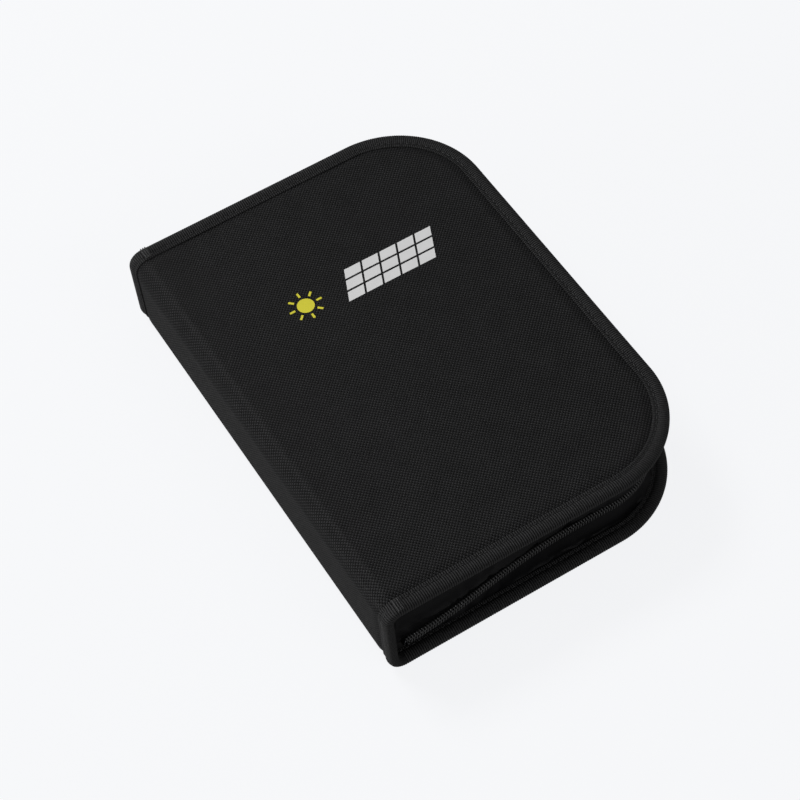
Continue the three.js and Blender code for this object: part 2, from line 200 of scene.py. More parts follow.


# Grosgrain tape: heavy ribs across the tape, with fine yarns along each rib. Its colour carries painted light:
# painted shade in the grooves between ribs and yarns, and a painted highlight on the rib tops.
def tapeMaterial(name, look):
    material, tree, shader = newMaterial(
        name, look["colour"], look["roughness"],
        **{"Specular IOR Level": look["specular"]})
    uv, along, across = clothCoordinates(tree)
    rib = calc(tree, "ABSOLUTE", wave(tree, along, look["ribPitch"]))
    yarn = calc(tree, "ABSOLUTE", wave(tree, across, look["yarnPitch"]))
    fuzz = noise(tree, uv, 0.0016, 5.0)
    # Painted shade in the grooves and painted highlight on the rib tops; the fuzz adds random tone.
    rounded = calc(tree, "POWER", rib, 1.6)
    shade = calc(tree, "MULTIPLY", calc(tree, "MULTIPLY_ADD", rounded, 0.96, 0.04),
                 calc(tree, "MULTIPLY_ADD", yarn, 0.45, 0.55))
    shade = calc(tree, "MULTIPLY", shade, calc(tree, "MULTIPLY_ADD", fuzz, 0.9, 0.35))
    tree.links.new(blendColour(tree, shade, *shades(look["colour"], 0.05, 3)), shader.inputs["Base Color"])
    tree.links.new(calc(tree, "MULTIPLY_ADD", fuzz, 0.25, look["roughness"] - 0.12),
                   shader.inputs["Roughness"])
    addBump(tree, shader, calc(tree, "MULTIPLY_ADD", yarn, 0.4, rib), look["bump"])
    return material


# Filament, moulded plastic and metal: fine grain on object coordinates.
def grainMaterial(name, look):
    material, tree, shader = newMaterial(
        name, look["colour"], look["roughness"],
        **{"Specular IOR Level": look.get("specular", 0.5), "Metallic": look.get("metallic", 0.0)})
    place = addNode(tree, "ShaderNodeTexCoord").outputs["Object"]
    grain = noise(tree, place, look["grain"], 4.0)
    wear = noise(tree, place, look["grain"] * 18, 3.0)
    spread = look.get("spread", 0.3)
    tree.links.new(blendColour(tree, wear, *shades(look["colour"], 1 - spread, 1 + spread)),
                   shader.inputs["Base Color"])
    tree.links.new(calc(tree, "MULTIPLY_ADD", grain, 0.22, look["roughness"] - 0.11),
                   shader.inputs["Roughness"])
    addBump(tree, shader, grain, look["bump"])
    return material


fabricLook = {
    "colour": (0.0175, 0.0175, 0.0180), "pitch": 0.00092, "bump": 0.00062, "roughness": 0.5,
    "specular": 0.07, "patchSize": 0.012, "paintedYarnSheen": 0.62, "paintedGapShade": 1.0, "brightness": 0.58,
    "yarnRound": 5.0, "paintedGlintShare": 5.0,
}
liningLook = {
    "colour": (0.0045, 0.0045, 0.0050), "pitch": 0.0004, "bump": 0.00004, "roughness": 0.48,
    "specular": 0.12, "patchSize": 0.02, "paintedYarnSheen": 0.15, "paintedGapShade": 0.45, "brightness": 0.45,
    "yarnRound": 0.6, "paintedGlintShare": 3.0,
}
bindingLook = {
    "colour": (0.0190, 0.0190, 0.0195), "ribPitch": 0.0011, "yarnPitch": 0.00055, "bump": 0.0002,
    "roughness": 0.42, "specular": 0.12,
}
zipTapeLook = {
    "colour": (0.0055, 0.0055, 0.0060), "ribPitch": 0.0007, "yarnPitch": 0.00035, "bump": 0.00006,
    "roughness": 0.55, "specular": 0.1,
}
polyester = wovenMaterial("polyester", fabricLook)
taffeta = wovenMaterial("taffeta", liningLook)
grosgrain = tapeMaterial("grosgrain", bindingLook)
zipTape = tapeMaterial("zipTape", zipTapeLook)
finishes = {
    "tackThread": {"colour": (0.03, 0.03, 0.031), "roughness": 0.4, "grain": 0.0003, "bump": 0.00003},
    "thread": {"colour": (0.012, 0.012, 0.013), "roughness": 0.5, "grain": 0.0003, "bump": 0.00003},
    "coilPlastic": {"colour": (0.042, 0.042, 0.043), "roughness": 0.24, "grain": 0.0006, "bump": 0.00001},
    "boardFoam": {"colour": (0.35, 0.33, 0.3), "roughness": 0.8, "grain": 0.0008, "bump": 0.00003},
    "gunmetal": {"colour": (0.09, 0.092, 0.097), "roughness": 0.34, "grain": 0.0004, "bump": 0.00001,
                 "metallic": 1.0},
    "steel": {"colour": (0.55, 0.56, 0.57), "roughness": 0.28, "grain": 0.0005, "bump": 0.00001,
              "metallic": 1.0},
    "mouldedPlastic": {"colour": (0.018, 0.018, 0.019), "roughness": 0.46, "grain": 0.0005, "bump": 0.00004,
                       },
    "boardGreen": {"colour": (0.01, 0.12, 0.05), "roughness": 0.4, "grain": 0.0012, "bump": 0.00001},
    "lensPlastic": {"colour": (0.8, 0.82, 0.84), "roughness": 0.25, "grain": 0.002, "bump": 0.000005,
                    "spread": 0.05},
    "buttonYellow": {"colour": (0.72, 0.66, 0.05), "roughness": 0.5, "grain": 0.0004, "bump": 0.00003,
                     "spread": 0.1},
    "solarFilm": {"colour": (0.02, 0.021, 0.025), "roughness": 0.35, "grain": 0.0007, "bump": 0.00004},
    "solarCell": {"colour": (0.006, 0.009, 0.028), "roughness": 0.34, "grain": 0.0009, "bump": 0.000004,
                  "specular": 0.4},
    "silverLine": {"colour": (0.6, 0.62, 0.64), "roughness": 0.35, "grain": 0.0006, "bump": 0.000002,
                   "metallic": 1.0},
    "printYellow": {"colour": (0.78, 0.72, 0.02), "roughness": 0.55, "grain": 0.0005, "bump": 0.00003,
                    "spread": 0.08},
    "printWhite": {"colour": (0.82, 0.82, 0.82), "roughness": 0.55, "grain": 0.0005, "bump": 0.00003,
                   "spread": 0.06},
}
finish = {name: grainMaterial(name, look) for name, look in finishes.items()}
print("materials made")


# Mesh helpers.
def newPiece(name, vertices, faces, uv=None, material=None, smooth=True):
    mesh = bpy.data.meshes.new(name)
    mesh.from_pydata([tuple(point) for point in vertices], [], faces)
    mesh.update()
    if uv is not None:
        layer = mesh.uv_layers.new(name="cloth")
        index = np.zeros(len(mesh.loops), int)
        mesh.loops.foreach_get("vertex_index", index)
        layer.data.foreach_set("uv", np.asarray(uv, float)[index].ravel())
    if smooth:
        mesh.shade_smooth()
    piece = bpy.data.objects.new(name, mesh)
    bpy.context.scene.collection.objects.link(piece)
    if material:
        mesh.materials.append(material)
    return piece


# A grid of points becomes quads. closed joins the last column to the first, and caps fill both ends.
def gridPiece(name, points, uv, material, closed=False, caps=False):
    rows, columns = points.shape[:2]
    faces = []
    across = columns if closed else columns - 1
    for row in range(rows - 1):
        for column in range(across):
            after = (column + 1) % columns
            faces.append((row * columns + column, row * columns + after,
                          (row + 1) * columns + after, (row + 1) * columns + column))
    if caps:
        faces.append(tuple(range(columns)))
        faces.append(tuple((rows - 1) * columns + column for column in reversed(range(columns))))
    piece = newPiece(name, points.reshape(-1, 3), faces, uv.reshape(-1, 2), material)
    turnOutwards(piece)
    return piece


def editMesh(piece, edit):
    work = bmesh.new()
    work.from_mesh(piece.data)
    edit(work)
    work.to_mesh(piece.data)
    work.free()


def turnOutwards(piece):
    editMesh(piece, lambda work: bmesh.ops.recalc_face_normals(work, faces=work.faces))


# Turns an open sheet's faces up or down, or away from a point behind it.
def faceOut(piece, outward):
    def edit(work):
        if (sum(face.normal.z for face in work.faces) > 0) != (outward > 0):
            bmesh.ops.reverse_faces(work, faces=work.faces)
    editMesh(piece, edit)


def faceAway(piece, behind):
    point = Vector(behind)

    def edit(work):
        work.normal_update()
        total = 0.0
        for face in work.faces:
            away = face.calc_center_median() - point
            away.y *= 0.3 if abs(point.y) < 1e-9 else 1     # the long side counts for less
            total += face.normal.dot(away)
        if total < 0:
            bmesh.ops.reverse_faces(work, faces=work.faces)
    editMesh(piece, edit)


def evaluated(piece):
    graph = bpy.context.evaluated_depsgraph_get()
    mesh = bpy.data.meshes.new_from_object(piece.evaluated_get(graph))
    piece.modifiers.clear()
    old = piece.data
    piece.data = mesh
    if old.users == 0:
        bpy.data.meshes.remove(old)
    return piece


def thicken(piece, thickness, offset=-1.0):
    modifier = piece.modifiers.new("wall", "SOLIDIFY")
    modifier.thickness = thickness
    modifier.offset = offset
    modifier.use_even_offset = False
    evaluated(piece)
    piece.data.shade_smooth()
    piece.data.set_sharp_from_angle(angle=math.radians(45))
    return piece


def settle(piece, body, replaces=()):
    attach(piece, body)
    if replaces:
        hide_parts(*replaces)
    return piece


# Geometry trees. Each has named inputs and ends in Realize Instances and Set Material.
def newTree(name, **sizes):
    kinds = {float: "NodeSocketFloat", int: "NodeSocketInt", tuple: "NodeSocketVector"}
    tree = bpy.data.node_groups.new(name, "GeometryNodeTree")
    tree.interface.new_socket("Geometry", in_out="INPUT", socket_type="NodeSocketGeometry")
    for label, value in sizes.items():
        socket = tree.interface.new_socket(label.replace("_", " "), in_out="INPUT",
                                           socket_type=kinds[type(value)])
        socket.default_value = value
    tree.interface.new_socket("Material", in_out="INPUT", socket_type="NodeSocketMaterial")
    tree.interface.new_socket("Geometry", in_out="OUTPUT", socket_type="NodeSocketGeometry")
    return tree, addNode(tree, "NodeGroupInput").outputs


def endTree(tree, geometry, entry):
    realize = addNode(tree, "GeometryNodeRealizeInstances", {0: geometry})
    paint = addNode(tree, "GeometryNodeSetMaterial",
                    {"Geometry": realize.outputs[0], "Material": entry["Material"]})
    addNode(tree, "NodeGroupOutput", {0: paint.outputs[0]})
    return tree


def attribute(tree, name, kind="FLOAT"):
    return addNode(tree, "GeometryNodeInputNamedAttribute", {0: name}, data_type=kind).outputs[0]


# Raises cross ribs on a swept tape. The tape carries how far along it each point lies.
def ribTree():
    tree, entry = newTree("crossRibs", Rib_Pitch=0.0011, Rib_Height=0.0001)
    turn = calc(tree, "DIVIDE", calc(tree, "MULTIPLY", attribute(tree, "along"), math.pi), entry["Rib Pitch"])
    lift = calc(tree, "MULTIPLY", calc(tree, "ABSOLUTE", calc(tree, "SINE", turn)), entry["Rib Height"])
    normal = addNode(tree, "GeometryNodeInputNormal").outputs[0]
    move = addNode(tree, "GeometryNodeSetPosition",
                   {"Geometry": entry["Geometry"], "Offset": vectorCalc(tree, "SCALE", normal, lift)})
    return endTree(tree, move.outputs[0], entry)


# Lays stitches end to end along a line.
def stitchTree():
    tree, entry = newTree("stitchRow", Pitch=0.003, Length=0.0022, Thread_Radius=0.00022)
    toCurve = addNode(tree, "GeometryNodeMeshToCurve", {0: entry["Geometry"]})
    spots = addNode(tree, "GeometryNodeCurveToPoints",
                    {"Curve": toCurve.outputs[0], "Length": entry["Pitch"]}, mode="LENGTH")
    bead = addNode(tree, "GeometryNodeMeshUVSphere", {"Segments": 8, "Rings": 5, "Radius": 1.0})
    radius = entry["Thread Radius"]
    size = addNode(tree, "ShaderNodeCombineXYZ",
                   {0: radius, 1: radius, 2: calc(tree, "MULTIPLY", entry["Length"], 0.5)})
    aim = addNode(tree, "FunctionNodeAlignRotationToVector", {"Vector": spots.outputs["Tangent"]}, axis="Z")
    place = addNode(tree, "GeometryNodeInstanceOnPoints",
                    {"Points": spots.outputs["Points"], "Instance": bead.outputs["Mesh"],
                     "Rotation": aim.outputs[0], "Scale": size.outputs[0]})
    shade = addNode(tree, "GeometryNodeSetShadeSmooth", {"Geometry": place.outputs[0]})
    return endTree(tree, shade.outputs[0], entry)


# Winds a flattened coil along a line that carries two directions, outward and across.
def coilTree():
    tree, entry = newTree("toothCoil", Pitch=0.0014, Width=0.003, Depth=0.0017, Phase=0.0,
                          Filament_Radius=0.00034)
    toCurve = addNode(tree, "GeometryNodeMeshToCurve", {0: entry["Geometry"]})
    fine = addNode(tree, "GeometryNodeResampleCurve",
                   {"Curve": toCurve.outputs[0], "Length": calc(tree, "DIVIDE", entry["Pitch"], 10.0)},
                   mode="LENGTH")
    along = addNode(tree, "GeometryNodeSplineParameter").outputs["Length"]
    turn = calc(tree, "ADD", calc(tree, "DIVIDE", calc(tree, "MULTIPLY", along, 2 * math.pi), entry["Pitch"]),
                entry["Phase"])
    swing = calc(tree, "MULTIPLY", calc(tree, "COSINE", turn), calc(tree, "MULTIPLY", entry["Width"], 0.5))
    rise = calc(tree, "MULTIPLY", calc(tree, "SINE", turn), calc(tree, "MULTIPLY", entry["Depth"], 0.5))
    offset = vectorCalc(tree, "ADD",
                        vectorCalc(tree, "SCALE", attribute(tree, "acrossWay", "FLOAT_VECTOR"), swing),
                        vectorCalc(tree, "SCALE", attribute(tree, "outWay", "FLOAT_VECTOR"), rise))
    move = addNode(tree, "GeometryNodeSetPosition", {"Geometry": fine.outputs[0], "Offset": offset})
    ring = addNode(tree, "GeometryNodeCurvePrimitiveCircle",
                   {"Resolution": 5, "Radius": entry["Filament Radius"]})
    tube = addNode(tree, "GeometryNodeCurveToMesh",
                   {"Curve": move.outputs[0], "Profile Curve": ring.outputs[0], "Fill Caps": True})
    shade = addNode(tree, "GeometryNodeSetShadeSmooth", {"Geometry": tube.outputs[0]})
    return endTree(tree, shade.outputs[0], entry)


def grow(piece, tree, material, **values):
    modifier = piece.modifiers.new("tree", "NODES")
    modifier.node_group = tree
    sockets = {item.name: item.identifier for item in tree.interface.items_tree if item.in_out == "INPUT"}
    for label, value in values.items():
        modifier[sockets[label.replace("_", " ")]] = value
    modifier[sockets["Material"]] = material
    evaluated(piece)
    return piece


tapeThread = {"Length": 0.0023, "Thread_Radius": 0.00024}
leafThread = {"Length": 0.0022, "Thread_Radius": 0.00014}
ribs = ribTree()
stitches = stitchTree()
coils = coilTree()


def linePiece(name, points, attributes=None):
    edges = [(i, i + 1) for i in range(len(points) - 1)]
    mesh = bpy.data.meshes.new(name)
    mesh.from_pydata([tuple(point) for point in points], edges, [])
    for label, values in (attributes or {}).items():
        layer = mesh.attributes.new(label, "FLOAT_VECTOR", "POINT")
        layer.data.foreach_set("vector", np.asarray(values, float).ravel())
    piece = bpy.data.objects.new(name, mesh)
    bpy.context.scene.collection.objects.link(piece)
    return piece


def stitchLine(name, points, body, slot="polyester", yarn=None, **values):
    piece = grow(linePiece(name, points), stitches, yarn or finish["thread"], **values)
    return settle(piece, body)


# The covers' outline: three free sides with two round corners, as places, outward directions and lengths.
def outline(startX, step):
    radius = case["cornerRadius"]
    centreX = freeEdgeX - radius
    centreY = halfLength - radius
    straight = centreX - startX
    bend = radius * math.pi / 2
    total = 2 * (straight + bend) + 2 * centreY
    count = int(round(total / step)) + 1
    lengths = np.linspace(0, total, count)
    places = np.zeros((count, 2))
    normals = np.zeros((count, 2))
    for i, s in enumerate(lengths):
        if s <= straight:
            places[i] = (startX + s, -halfLength)
            normals[i] = (0, -1)
        elif s <= straight + bend:
            angle = (s - straight) / radius
            normals[i] = (math.sin(angle), -math.cos(angle))
            places[i] = (centreX + radius * normals[i][0], -centreY + radius * normals[i][1])
        elif s <= straight + bend + 2 * centreY:
            places[i] = (freeEdgeX, -centreY + s - straight - bend)
            normals[i] = (1, 0)
        elif s <= straight + 2 * bend + 2 * centreY:
            angle = (s - straight - bend - 2 * centreY) / radius
            normals[i] = (math.cos(angle), math.sin(angle))
            places[i] = (centreX + radius * normals[i][0], centreY + radius * normals[i][1])
        else:
            places[i] = (centreX - (s - straight - 2 * bend - 2 * centreY), halfLength)
            normals[i] = (0, 1)
    return places, normals, lengths


# Sweeps a profile round the outline. Each profile point is (inset, height).
def sweepProfile(startX, step, profile):
    places, normals, lengths = outline(startX, step)
    profile = np.array(profile, float)
    points = np.zeros((len(places), len(profile), 3))
    points[:, :, :2] = places[:, None, :] - normals[:, None, :] * profile[None, :, 0, None]
    points[:, :, 2] = profile[None, :, 1]
    return points, lengths


def profileLengths(profile):
    profile = np.array(profile, float)
    return np.concatenate([[0], np.cumsum(np.linalg.norm(np.diff(profile, axis=0), axis=1))])


def gridUv(lengths, across):
    uv = np.zeros((len(lengths), len(across), 2))
    uv[:, :, 0] = np.asarray(lengths)[:, None]
    uv[:, :, 1] = np.asarray(across)[None, :]
    return uv


def markAlong(piece, lengths, columns):
    layer = piece.data.attributes.new("along", "FLOAT", "POINT")
    layer.data.foreach_set("value", np.repeat(np.asarray(lengths, float), columns))


binding = {
    "tape": 0.0011,              # thickness of the folded tape
    "stitchInset": 0.0056,
    "stitchDip": 0.0006,
    "crown": 0.00045,
    "edgeRadius": 0.0011,
    "ribPitch": 0.0011,
    "ribHeight": 0.0002,
    "stepsPerRib": 4,
    "stitchPitch": 0.0031,
}


# Cross section of the folded tape, as (distance in from the edge, height), from one inner edge round
# the outside to the other inner edge and back along the inside.
def bindingProfile():
    width = case["bindingWidth"]
    thick = case["thickness"]
    crown = binding["crown"]
    dip = binding["stitchDip"]
    seam = binding["stitchInset"]
    radius = binding["edgeRadius"]
    leg = [(width, -0.0004), (width - 0.0004, -0.0001), (seam + 0.0006, -dip * 0.5), (seam, -dip),
           (seam - 0.0006, -dip * 0.3), (seam - 0.0013, crown * 0.6), (width * 0.42, crown),
           (radius * 1.9, crown * 0.75)]
    outer = [(inset, -lift) for inset, lift in leg]
    for step in range(1, 8):
        angle = math.pi * step / 8
        outer.append((radius * (1 - math.sin(angle)), thick / 2 * (1 - math.cos(angle))))
    outer += [(inset, thick + lift) for inset, lift in reversed(leg)]
    tape = binding["tape"]
    inner = [(width, thick - tape), (radius + tape, thick - tape), (tape + 0.0003, thick - 2 * tape),
             (tape + 0.0003, 2 * tape), (radius + tape, tape), (width, tape)]
    return outer + inner


def bindingStep():
    return binding["ribPitch"] / binding["stepsPerRib"]


def makeCoverBinding(name, place, floor, body, cadNode):
    profile = [(inset, max(floor + height, 0)) for inset, height in bindingProfile()]
    points, lengths = sweepProfile(coverStartX, bindingStep(), profile)
    piece = gridPiece(name, place(points), gridUv(lengths, profileLengths(profile)), grosgrain,
                      closed=True, caps=True)
    markAlong(piece, lengths, len(profile))
    grow(piece, ribs, grosgrain, Rib_Pitch=binding["ribPitch"], Rib_Height=binding["ribHeight"])
    settle(piece, body, [cadNode])
    for side, height in (("under", floor), ("over", floor + case["thickness"])):
        sign = -1 if side == "under" else 1
        seam, _ = sweepProfile(coverStartX, 0.002, [(binding["stitchInset"], height - sign * 0.0001)])
        stitchLine(f"{name}_stitches_{side}", place(seam[:, 0]), body, "grosgrain",
                   Pitch=binding["stitchPitch"], **tapeThread)
    return piece


makeCoverBinding("upperBinding", onLid, lidHinge.z - case["thickness"], "case_lid", "upper_binding")
makeCoverBinding("lowerBinding", onBase, 0.0, "case_base", "lower_binding")
print("cover bindings made")


cover = {
    "seamInset": 0.0069,         # the cloth runs under the tape to here
    "seamDrop": 0.0009,
    "seamRun": 0.0045,           # distance over which the padding rises from the seam
    "cloth": 0.0005,
    "ripple": 0.00010,
    "rows": 130,
    "columns": 90,
}


# A cover's face on a grid: u runs from the spine to the free side, v from the near to the far side.
def coverGrid(inset, startX):
    radius = case["cornerRadius"] - inset
    centreX = freeEdgeX - case["cornerRadius"]
    centreY = halfLength - case["cornerRadius"]
    bend = np.linspace(math.pi / 2, 0, 26)
    corner = centreY + radius * np.sin(bend)
    middle = np.linspace(centreY, -centreY, cover["rows"])[1:-1]
    ys = np.concatenate([corner, middle, -corner[::-1]])
    beyond = np.clip(np.abs(ys) - centreY, 0, radius)
    ends = centreX + np.sqrt(np.maximum(radius ** 2 - beyond ** 2, 0))
    share = np.linspace(0, 1, cover["columns"])
    share = 0.5 * share + 0.5 * np.sin(share * math.pi / 2)
    xs = startX + share[None, :] * (ends[:, None] - startX)
    return xs, np.repeat(ys[:, None], len(share), axis=1)


def distanceFromEdge(xs, ys):
    radius = case["cornerRadius"]
    dx = xs - (freeEdgeX - radius)
    dy = np.abs(ys) - (halfLength - radius)
    inCorner = (dx > 0) & (dy > 0)
    corner = radius - np.hypot(np.maximum(dx, 0), np.maximum(dy, 0))
    return np.where(inCorner, corner, np.minimum(radius - dx, radius - dy))


def ripple(xs, ys, height):
    slow = np.sin(xs * 61 + 1.3 * np.sin(ys * 37)) * np.sin(ys * 43 + 0.7)
    quick = np.sin(xs * 171 + ys * 97 + 2.1) * 0.35
    return height * (slow + quick)


def makeCoverCloth(name, place, height, outward, body, material, cadNode):
    xs, ys = coverGrid(cover["seamInset"], coverStartX)
    inward = distanceFromEdge(xs, ys) - cover["seamInset"]
    drop = cover["seamDrop"] * (1 - smoothStep(0, cover["seamRun"], inward))
    zs = height - outward * (drop - ripple(xs, ys, cover["ripple"]) * smoothStep(0, 0.02, xs - coverStartX))
    points = np.stack([xs, ys, zs], axis=-1)
    uv = np.stack([xs, ys], axis=-1)
    piece = gridPiece(name, place(points), uv, material)
    faceOut(piece, outward)
    thicken(piece, cover["cloth"])
    return settle(piece, body, [cadNode])


lidTop = lidHinge.z
makeCoverCloth("upperCover", onLid, lidTop, 1, "case_lid", polyester, "upper_cover_cloth")
makeCoverCloth("upperLining", onLid, lidTop - case["thickness"], -1, "case_lid", taffeta,
               "upper_cover_lining")
makeCoverCloth("lowerCover", onBase, 0.0, -1, "case_base", polyester, "lower_cover_cloth")
makeCoverCloth("lowerLining", onBase, case["thickness"], 1, "case_base", taffeta,
               "lower_cover_lining")


board = {"thickness": 0.0020, "depth": 0.0011, "spineDepth": 0.0010}


# The boards inside the covers. The upper one follows the lid's slight swell.
def makeBoard(name, place, height, outward, body, cadNode):
    xs, ys = coverGrid(cover["seamInset"] + 0.0006, coverStartX + 0.0003)
    points = np.stack([xs, ys, np.full(xs.shape, height)], axis=-1)
    piece = gridPiece(name, place(points), np.stack([xs, ys], axis=-1), finish["boardFoam"])
    faceOut(piece, outward)
    thicken(piece, board["thickness"])
    settle(piece, body, [cadNode])


makeBoard("upperBoard", onLid, lidTop - board["depth"], 1, "case_lid", "upper_cover_board")
makeBoard("lowerBoard", onBase, board["depth"], -1, "case_base", "lower_cover_board")
print("covers made")


fold = {
    "cloth": 0.0005,
    "arcSteps": 16,
    "rows": 120,
}


# A point on the cloth's bend at one long edge of the spine. The angle runs from the spine to the cover.
def foldPoint(edge, radius, angle, ys):
    xs = coverStartX - radius * np.cos(angle) + ys * 0
    if edge == "upper":
        flat = np.stack([xs, ys, lidTop - case["foldRadius"] + radius * np.sin(angle) + ys * 0], axis=-1)
        share = (np.asarray(angle + ys * 0) / (math.pi / 2))[..., None]
        return flat * (1 - share) + onLid(flat) * share
    return np.stack([xs, ys, case["foldRadius"] - radius * np.sin(angle) + ys * 0], axis=-1)


def foldRows():
    return np.linspace(-1, 1, fold["rows"]) * (halfLength - cover["seamInset"])


def foldDrop(ys):
    inward = halfLength - np.abs(ys) - cover["seamInset"]
    return cover["seamDrop"] * (1 - smoothStep(0, cover["seamRun"], inward))


def makeFoldCloth(name, edge):
    ys = foldRows()
    angles = np.linspace(0, math.pi / 2, fold["arcSteps"])
    columns = [foldPoint(edge, case["foldRadius"] - foldDrop(ys), angle, ys) for angle in angles]
    points = np.stack(columns, axis=1)
    uv = np.zeros(points.shape[:2] + (2,))
    uv[..., 0] = coverStartX - case["foldRadius"] * (math.pi / 2 - angles)[None, :]
    uv[..., 1] = ys[:, None]
    piece = gridPiece(name, points, uv, polyester)
    faceAway(piece, (coverStartX, 0, lidTop - case["foldRadius"] if edge == "upper" else case["foldRadius"]))
    thicken(piece, fold["cloth"])
    return joinBodies(piece, edge)


# The two covers hinge on the spine at its long edges; a piece there only has its placement baked into its mesh
# and is attached to no body.
def joinBodies(piece, edge):
    if edge == "upper":
        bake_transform(piece)
    else:
        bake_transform(piece)
    return piece


def makeLiningFold(name, edge):
    ys = foldRows()
    angles = np.linspace(0, math.pi / 2, fold["arcSteps"])
    points = np.stack([foldPoint(edge, innerRadius, angle, ys) for angle in angles], axis=1)
    piece = gridPiece(name, points, gridUv(ys, angles * innerRadius), taffeta)
    faceAway(piece, (spineX, 0, lidTop if edge == "upper" else 0))
    thicken(piece, 0.0003)
    joinBodies(piece, edge)


def makeSpineCloth(name, x, outward, body, material, cadNode, thickness):
    ys = foldRows()
    zs = np.linspace(case["foldRadius"], lidTop - case["foldRadius"], 40)
    gridY, gridZ = np.meshgrid(ys, zs, indexing="ij")
    drop = foldDrop(gridY)
    lift = ripple(gridZ * 1.7, gridY, cover["ripple"]) * np.sin(math.pi * (gridZ - zs[0]) / (zs[-1] - zs[0]))
    points = np.stack([x + outward * (lift - drop), gridY, gridZ], axis=-1)
    start = coverStartX - case["foldRadius"] * math.pi / 2
    uv = np.stack([start + (gridZ - zs[-1]), gridY], axis=-1)
    piece = gridPiece(name, points, uv, material)
    faceAway(piece, (x - outward, 0, lidTop / 2))
    thicken(piece, thickness)
    return settle(piece, body, [cadNode])


makeFoldCloth("upperFold", "upper")
makeFoldCloth("lowerFold", "lower")
makeLiningFold("upperLiningFold", "upper")
makeLiningFold("lowerLiningFold", "lower")
makeSpineCloth("spineCloth", spineX, -1, "case_spine", polyester, "spine_cloth", 0.0005)
makeSpineCloth("spineLining", spineX + case["thickness"], 1, "case_spine", taffeta,
               "spine_lining", 0.0004)


def makeSpineBoard():
    ys = foldRows() * 0.998
    zs = np.linspace(case["foldRadius"], lidTop - case["foldRadius"], 8)
    gridY, gridZ = np.meshgrid(ys, zs, indexing="ij")
    points = np.stack([np.full(gridY.shape, spineX + board["spineDepth"]), gridY, gridZ], axis=-1)
    piece = gridPiece("spineBoard", points, np.stack([gridZ, gridY], axis=-1), finish["boardFoam"])
    faceAway(piece, (0, 0, 0.02))
    thicken(piece, board["thickness"])
    settle(piece, "case_spine", ["spine_board"])


makeSpineBoard()


# The tape round the spine's two ends, and its turn onto each cover.
def sweepTape(name, origins, inward, ups, lengths):
    profile = np.array(bindingProfile())
    heights = profile[:, 1] + innerRadius
    points = (origins[:, None, :] + np.array(inward)[None, None, :] * profile[None, :, 0, None]
              + ups[:, None, :] * heights[None, :, None])
    piece = gridPiece(name, points, gridUv(lengths, profileLengths(profile)), grosgrain, closed=True, caps=True)
    markAlong(piece, lengths, len(profile))
    grow(piece, ribs, grosgrain, Rib_Pitch=binding["ribPitch"], Rib_Height=binding["ribHeight"])
    return piece


def makeSpineEnd(label, y, inwardY):
    zs = np.arange(case["foldRadius"], lidTop - case["foldRadius"] + 0.0001, bindingStep())
    zs = np.linspace(zs[0], lidTop - case["foldRadius"], len(zs))
    origins = np.stack([np.full(len(zs), coverStartX), np.full(len(zs), y), zs], axis=-1)
    ups = np.tile([-1.0, 0, 0], (len(zs), 1))
    tape = sweepTape(f"spineBinding_{label}", origins, (0, inwardY, 0), ups, zs)
    settle(tape, "case_spine", [f"spine_binding_{label}"])
    seamY = y + inwardY * binding["stitchInset"]
    row = np.stack([np.full(20, spineX + 0.0001), np.full(20, seamY), np.linspace(zs[0], zs[-1], 20)], axis=-1)
    stitchLine(f"spineStitches_{label}", row, "case_spine", "grosgrain",
               Pitch=binding["stitchPitch"], **tapeThread)
    for edge in ("upper", "lower"):
        angles = np.linspace(0, math.pi / 2, 45)
        centreZ = lidTop - case["foldRadius"] if edge == "upper" else case["foldRadius"]
        turn = 1 if edge == "upper" else -1
        ups = np.stack([-np.cos(angles), angles * 0, turn * np.sin(angles)], axis=-1)
        origins = np.tile([coverStartX, y, centreZ], (len(angles), 1))
        tape = sweepTape(f"cornerBinding_{edge}_{label}", origins, (0, inwardY, 0), ups,
                         angles * case["foldRadius"])
        if edge == "lower":
            writePoints(tape, np.maximum(readPoints(tape), [-1, -1, 0]))
        if edge == "upper":
            shape = readPoints(tape)
            share = np.clip(np.arctan2(shape[:, 2] - centreZ, coverStartX - shape[:, 0]) / (math.pi / 2), 0, 1)
            bent = shape * (1 - share[:, None]) + onLid(shape) * share[:, None]
            writePoints(tape, bent)
        joinBodies(tape, edge)


def readPoints(piece):
    shape = np.zeros(len(piece.data.vertices) * 3)
    piece.data.vertices.foreach_get("co", shape)
    return shape.reshape(-1, 3)


def writePoints(piece, points):
    piece.data.vertices.foreach_set("co", np.asarray(points, float).ravel())
    piece.data.update()


makeSpineEnd("near", -halfLength, 1)
makeSpineEnd("far", halfLength, -1)


barTack = {"rows": 3, "points": 12, "rowGap": 0.0011, "start": 0.0009, "end": 0.0066, "pitch": 0.0008,
           "length": 0.0011, "threadRadius": 0.0003}


# A bar tack of close rows holds the tape where it turns down the spine.
def makeBarTacks():
    for label, y, inward in (("near", -halfLength, 1), ("far", halfLength, -1)):
        for i in range(barTack["rows"]):
            x = coverStartX - 0.0004 + i * barTack["rowGap"]
            ys = y + inward * np.linspace(barTack["start"], barTack["end"], barTack["points"])
            row = np.stack([ys * 0 + x, ys, ys * 0 + lidTop + binding["crown"] + 0.0001], axis=-1)
            stitchLine(f"barTack_{label}_{i + 1}", onLid(row), "case_lid", "grosgrain", finish["tackThread"],
                       Pitch=barTack["pitch"], Length=barTack["length"],
                       Thread_Radius=barTack["threadRadius"])


makeBarTacks()
print("spine and folds made")


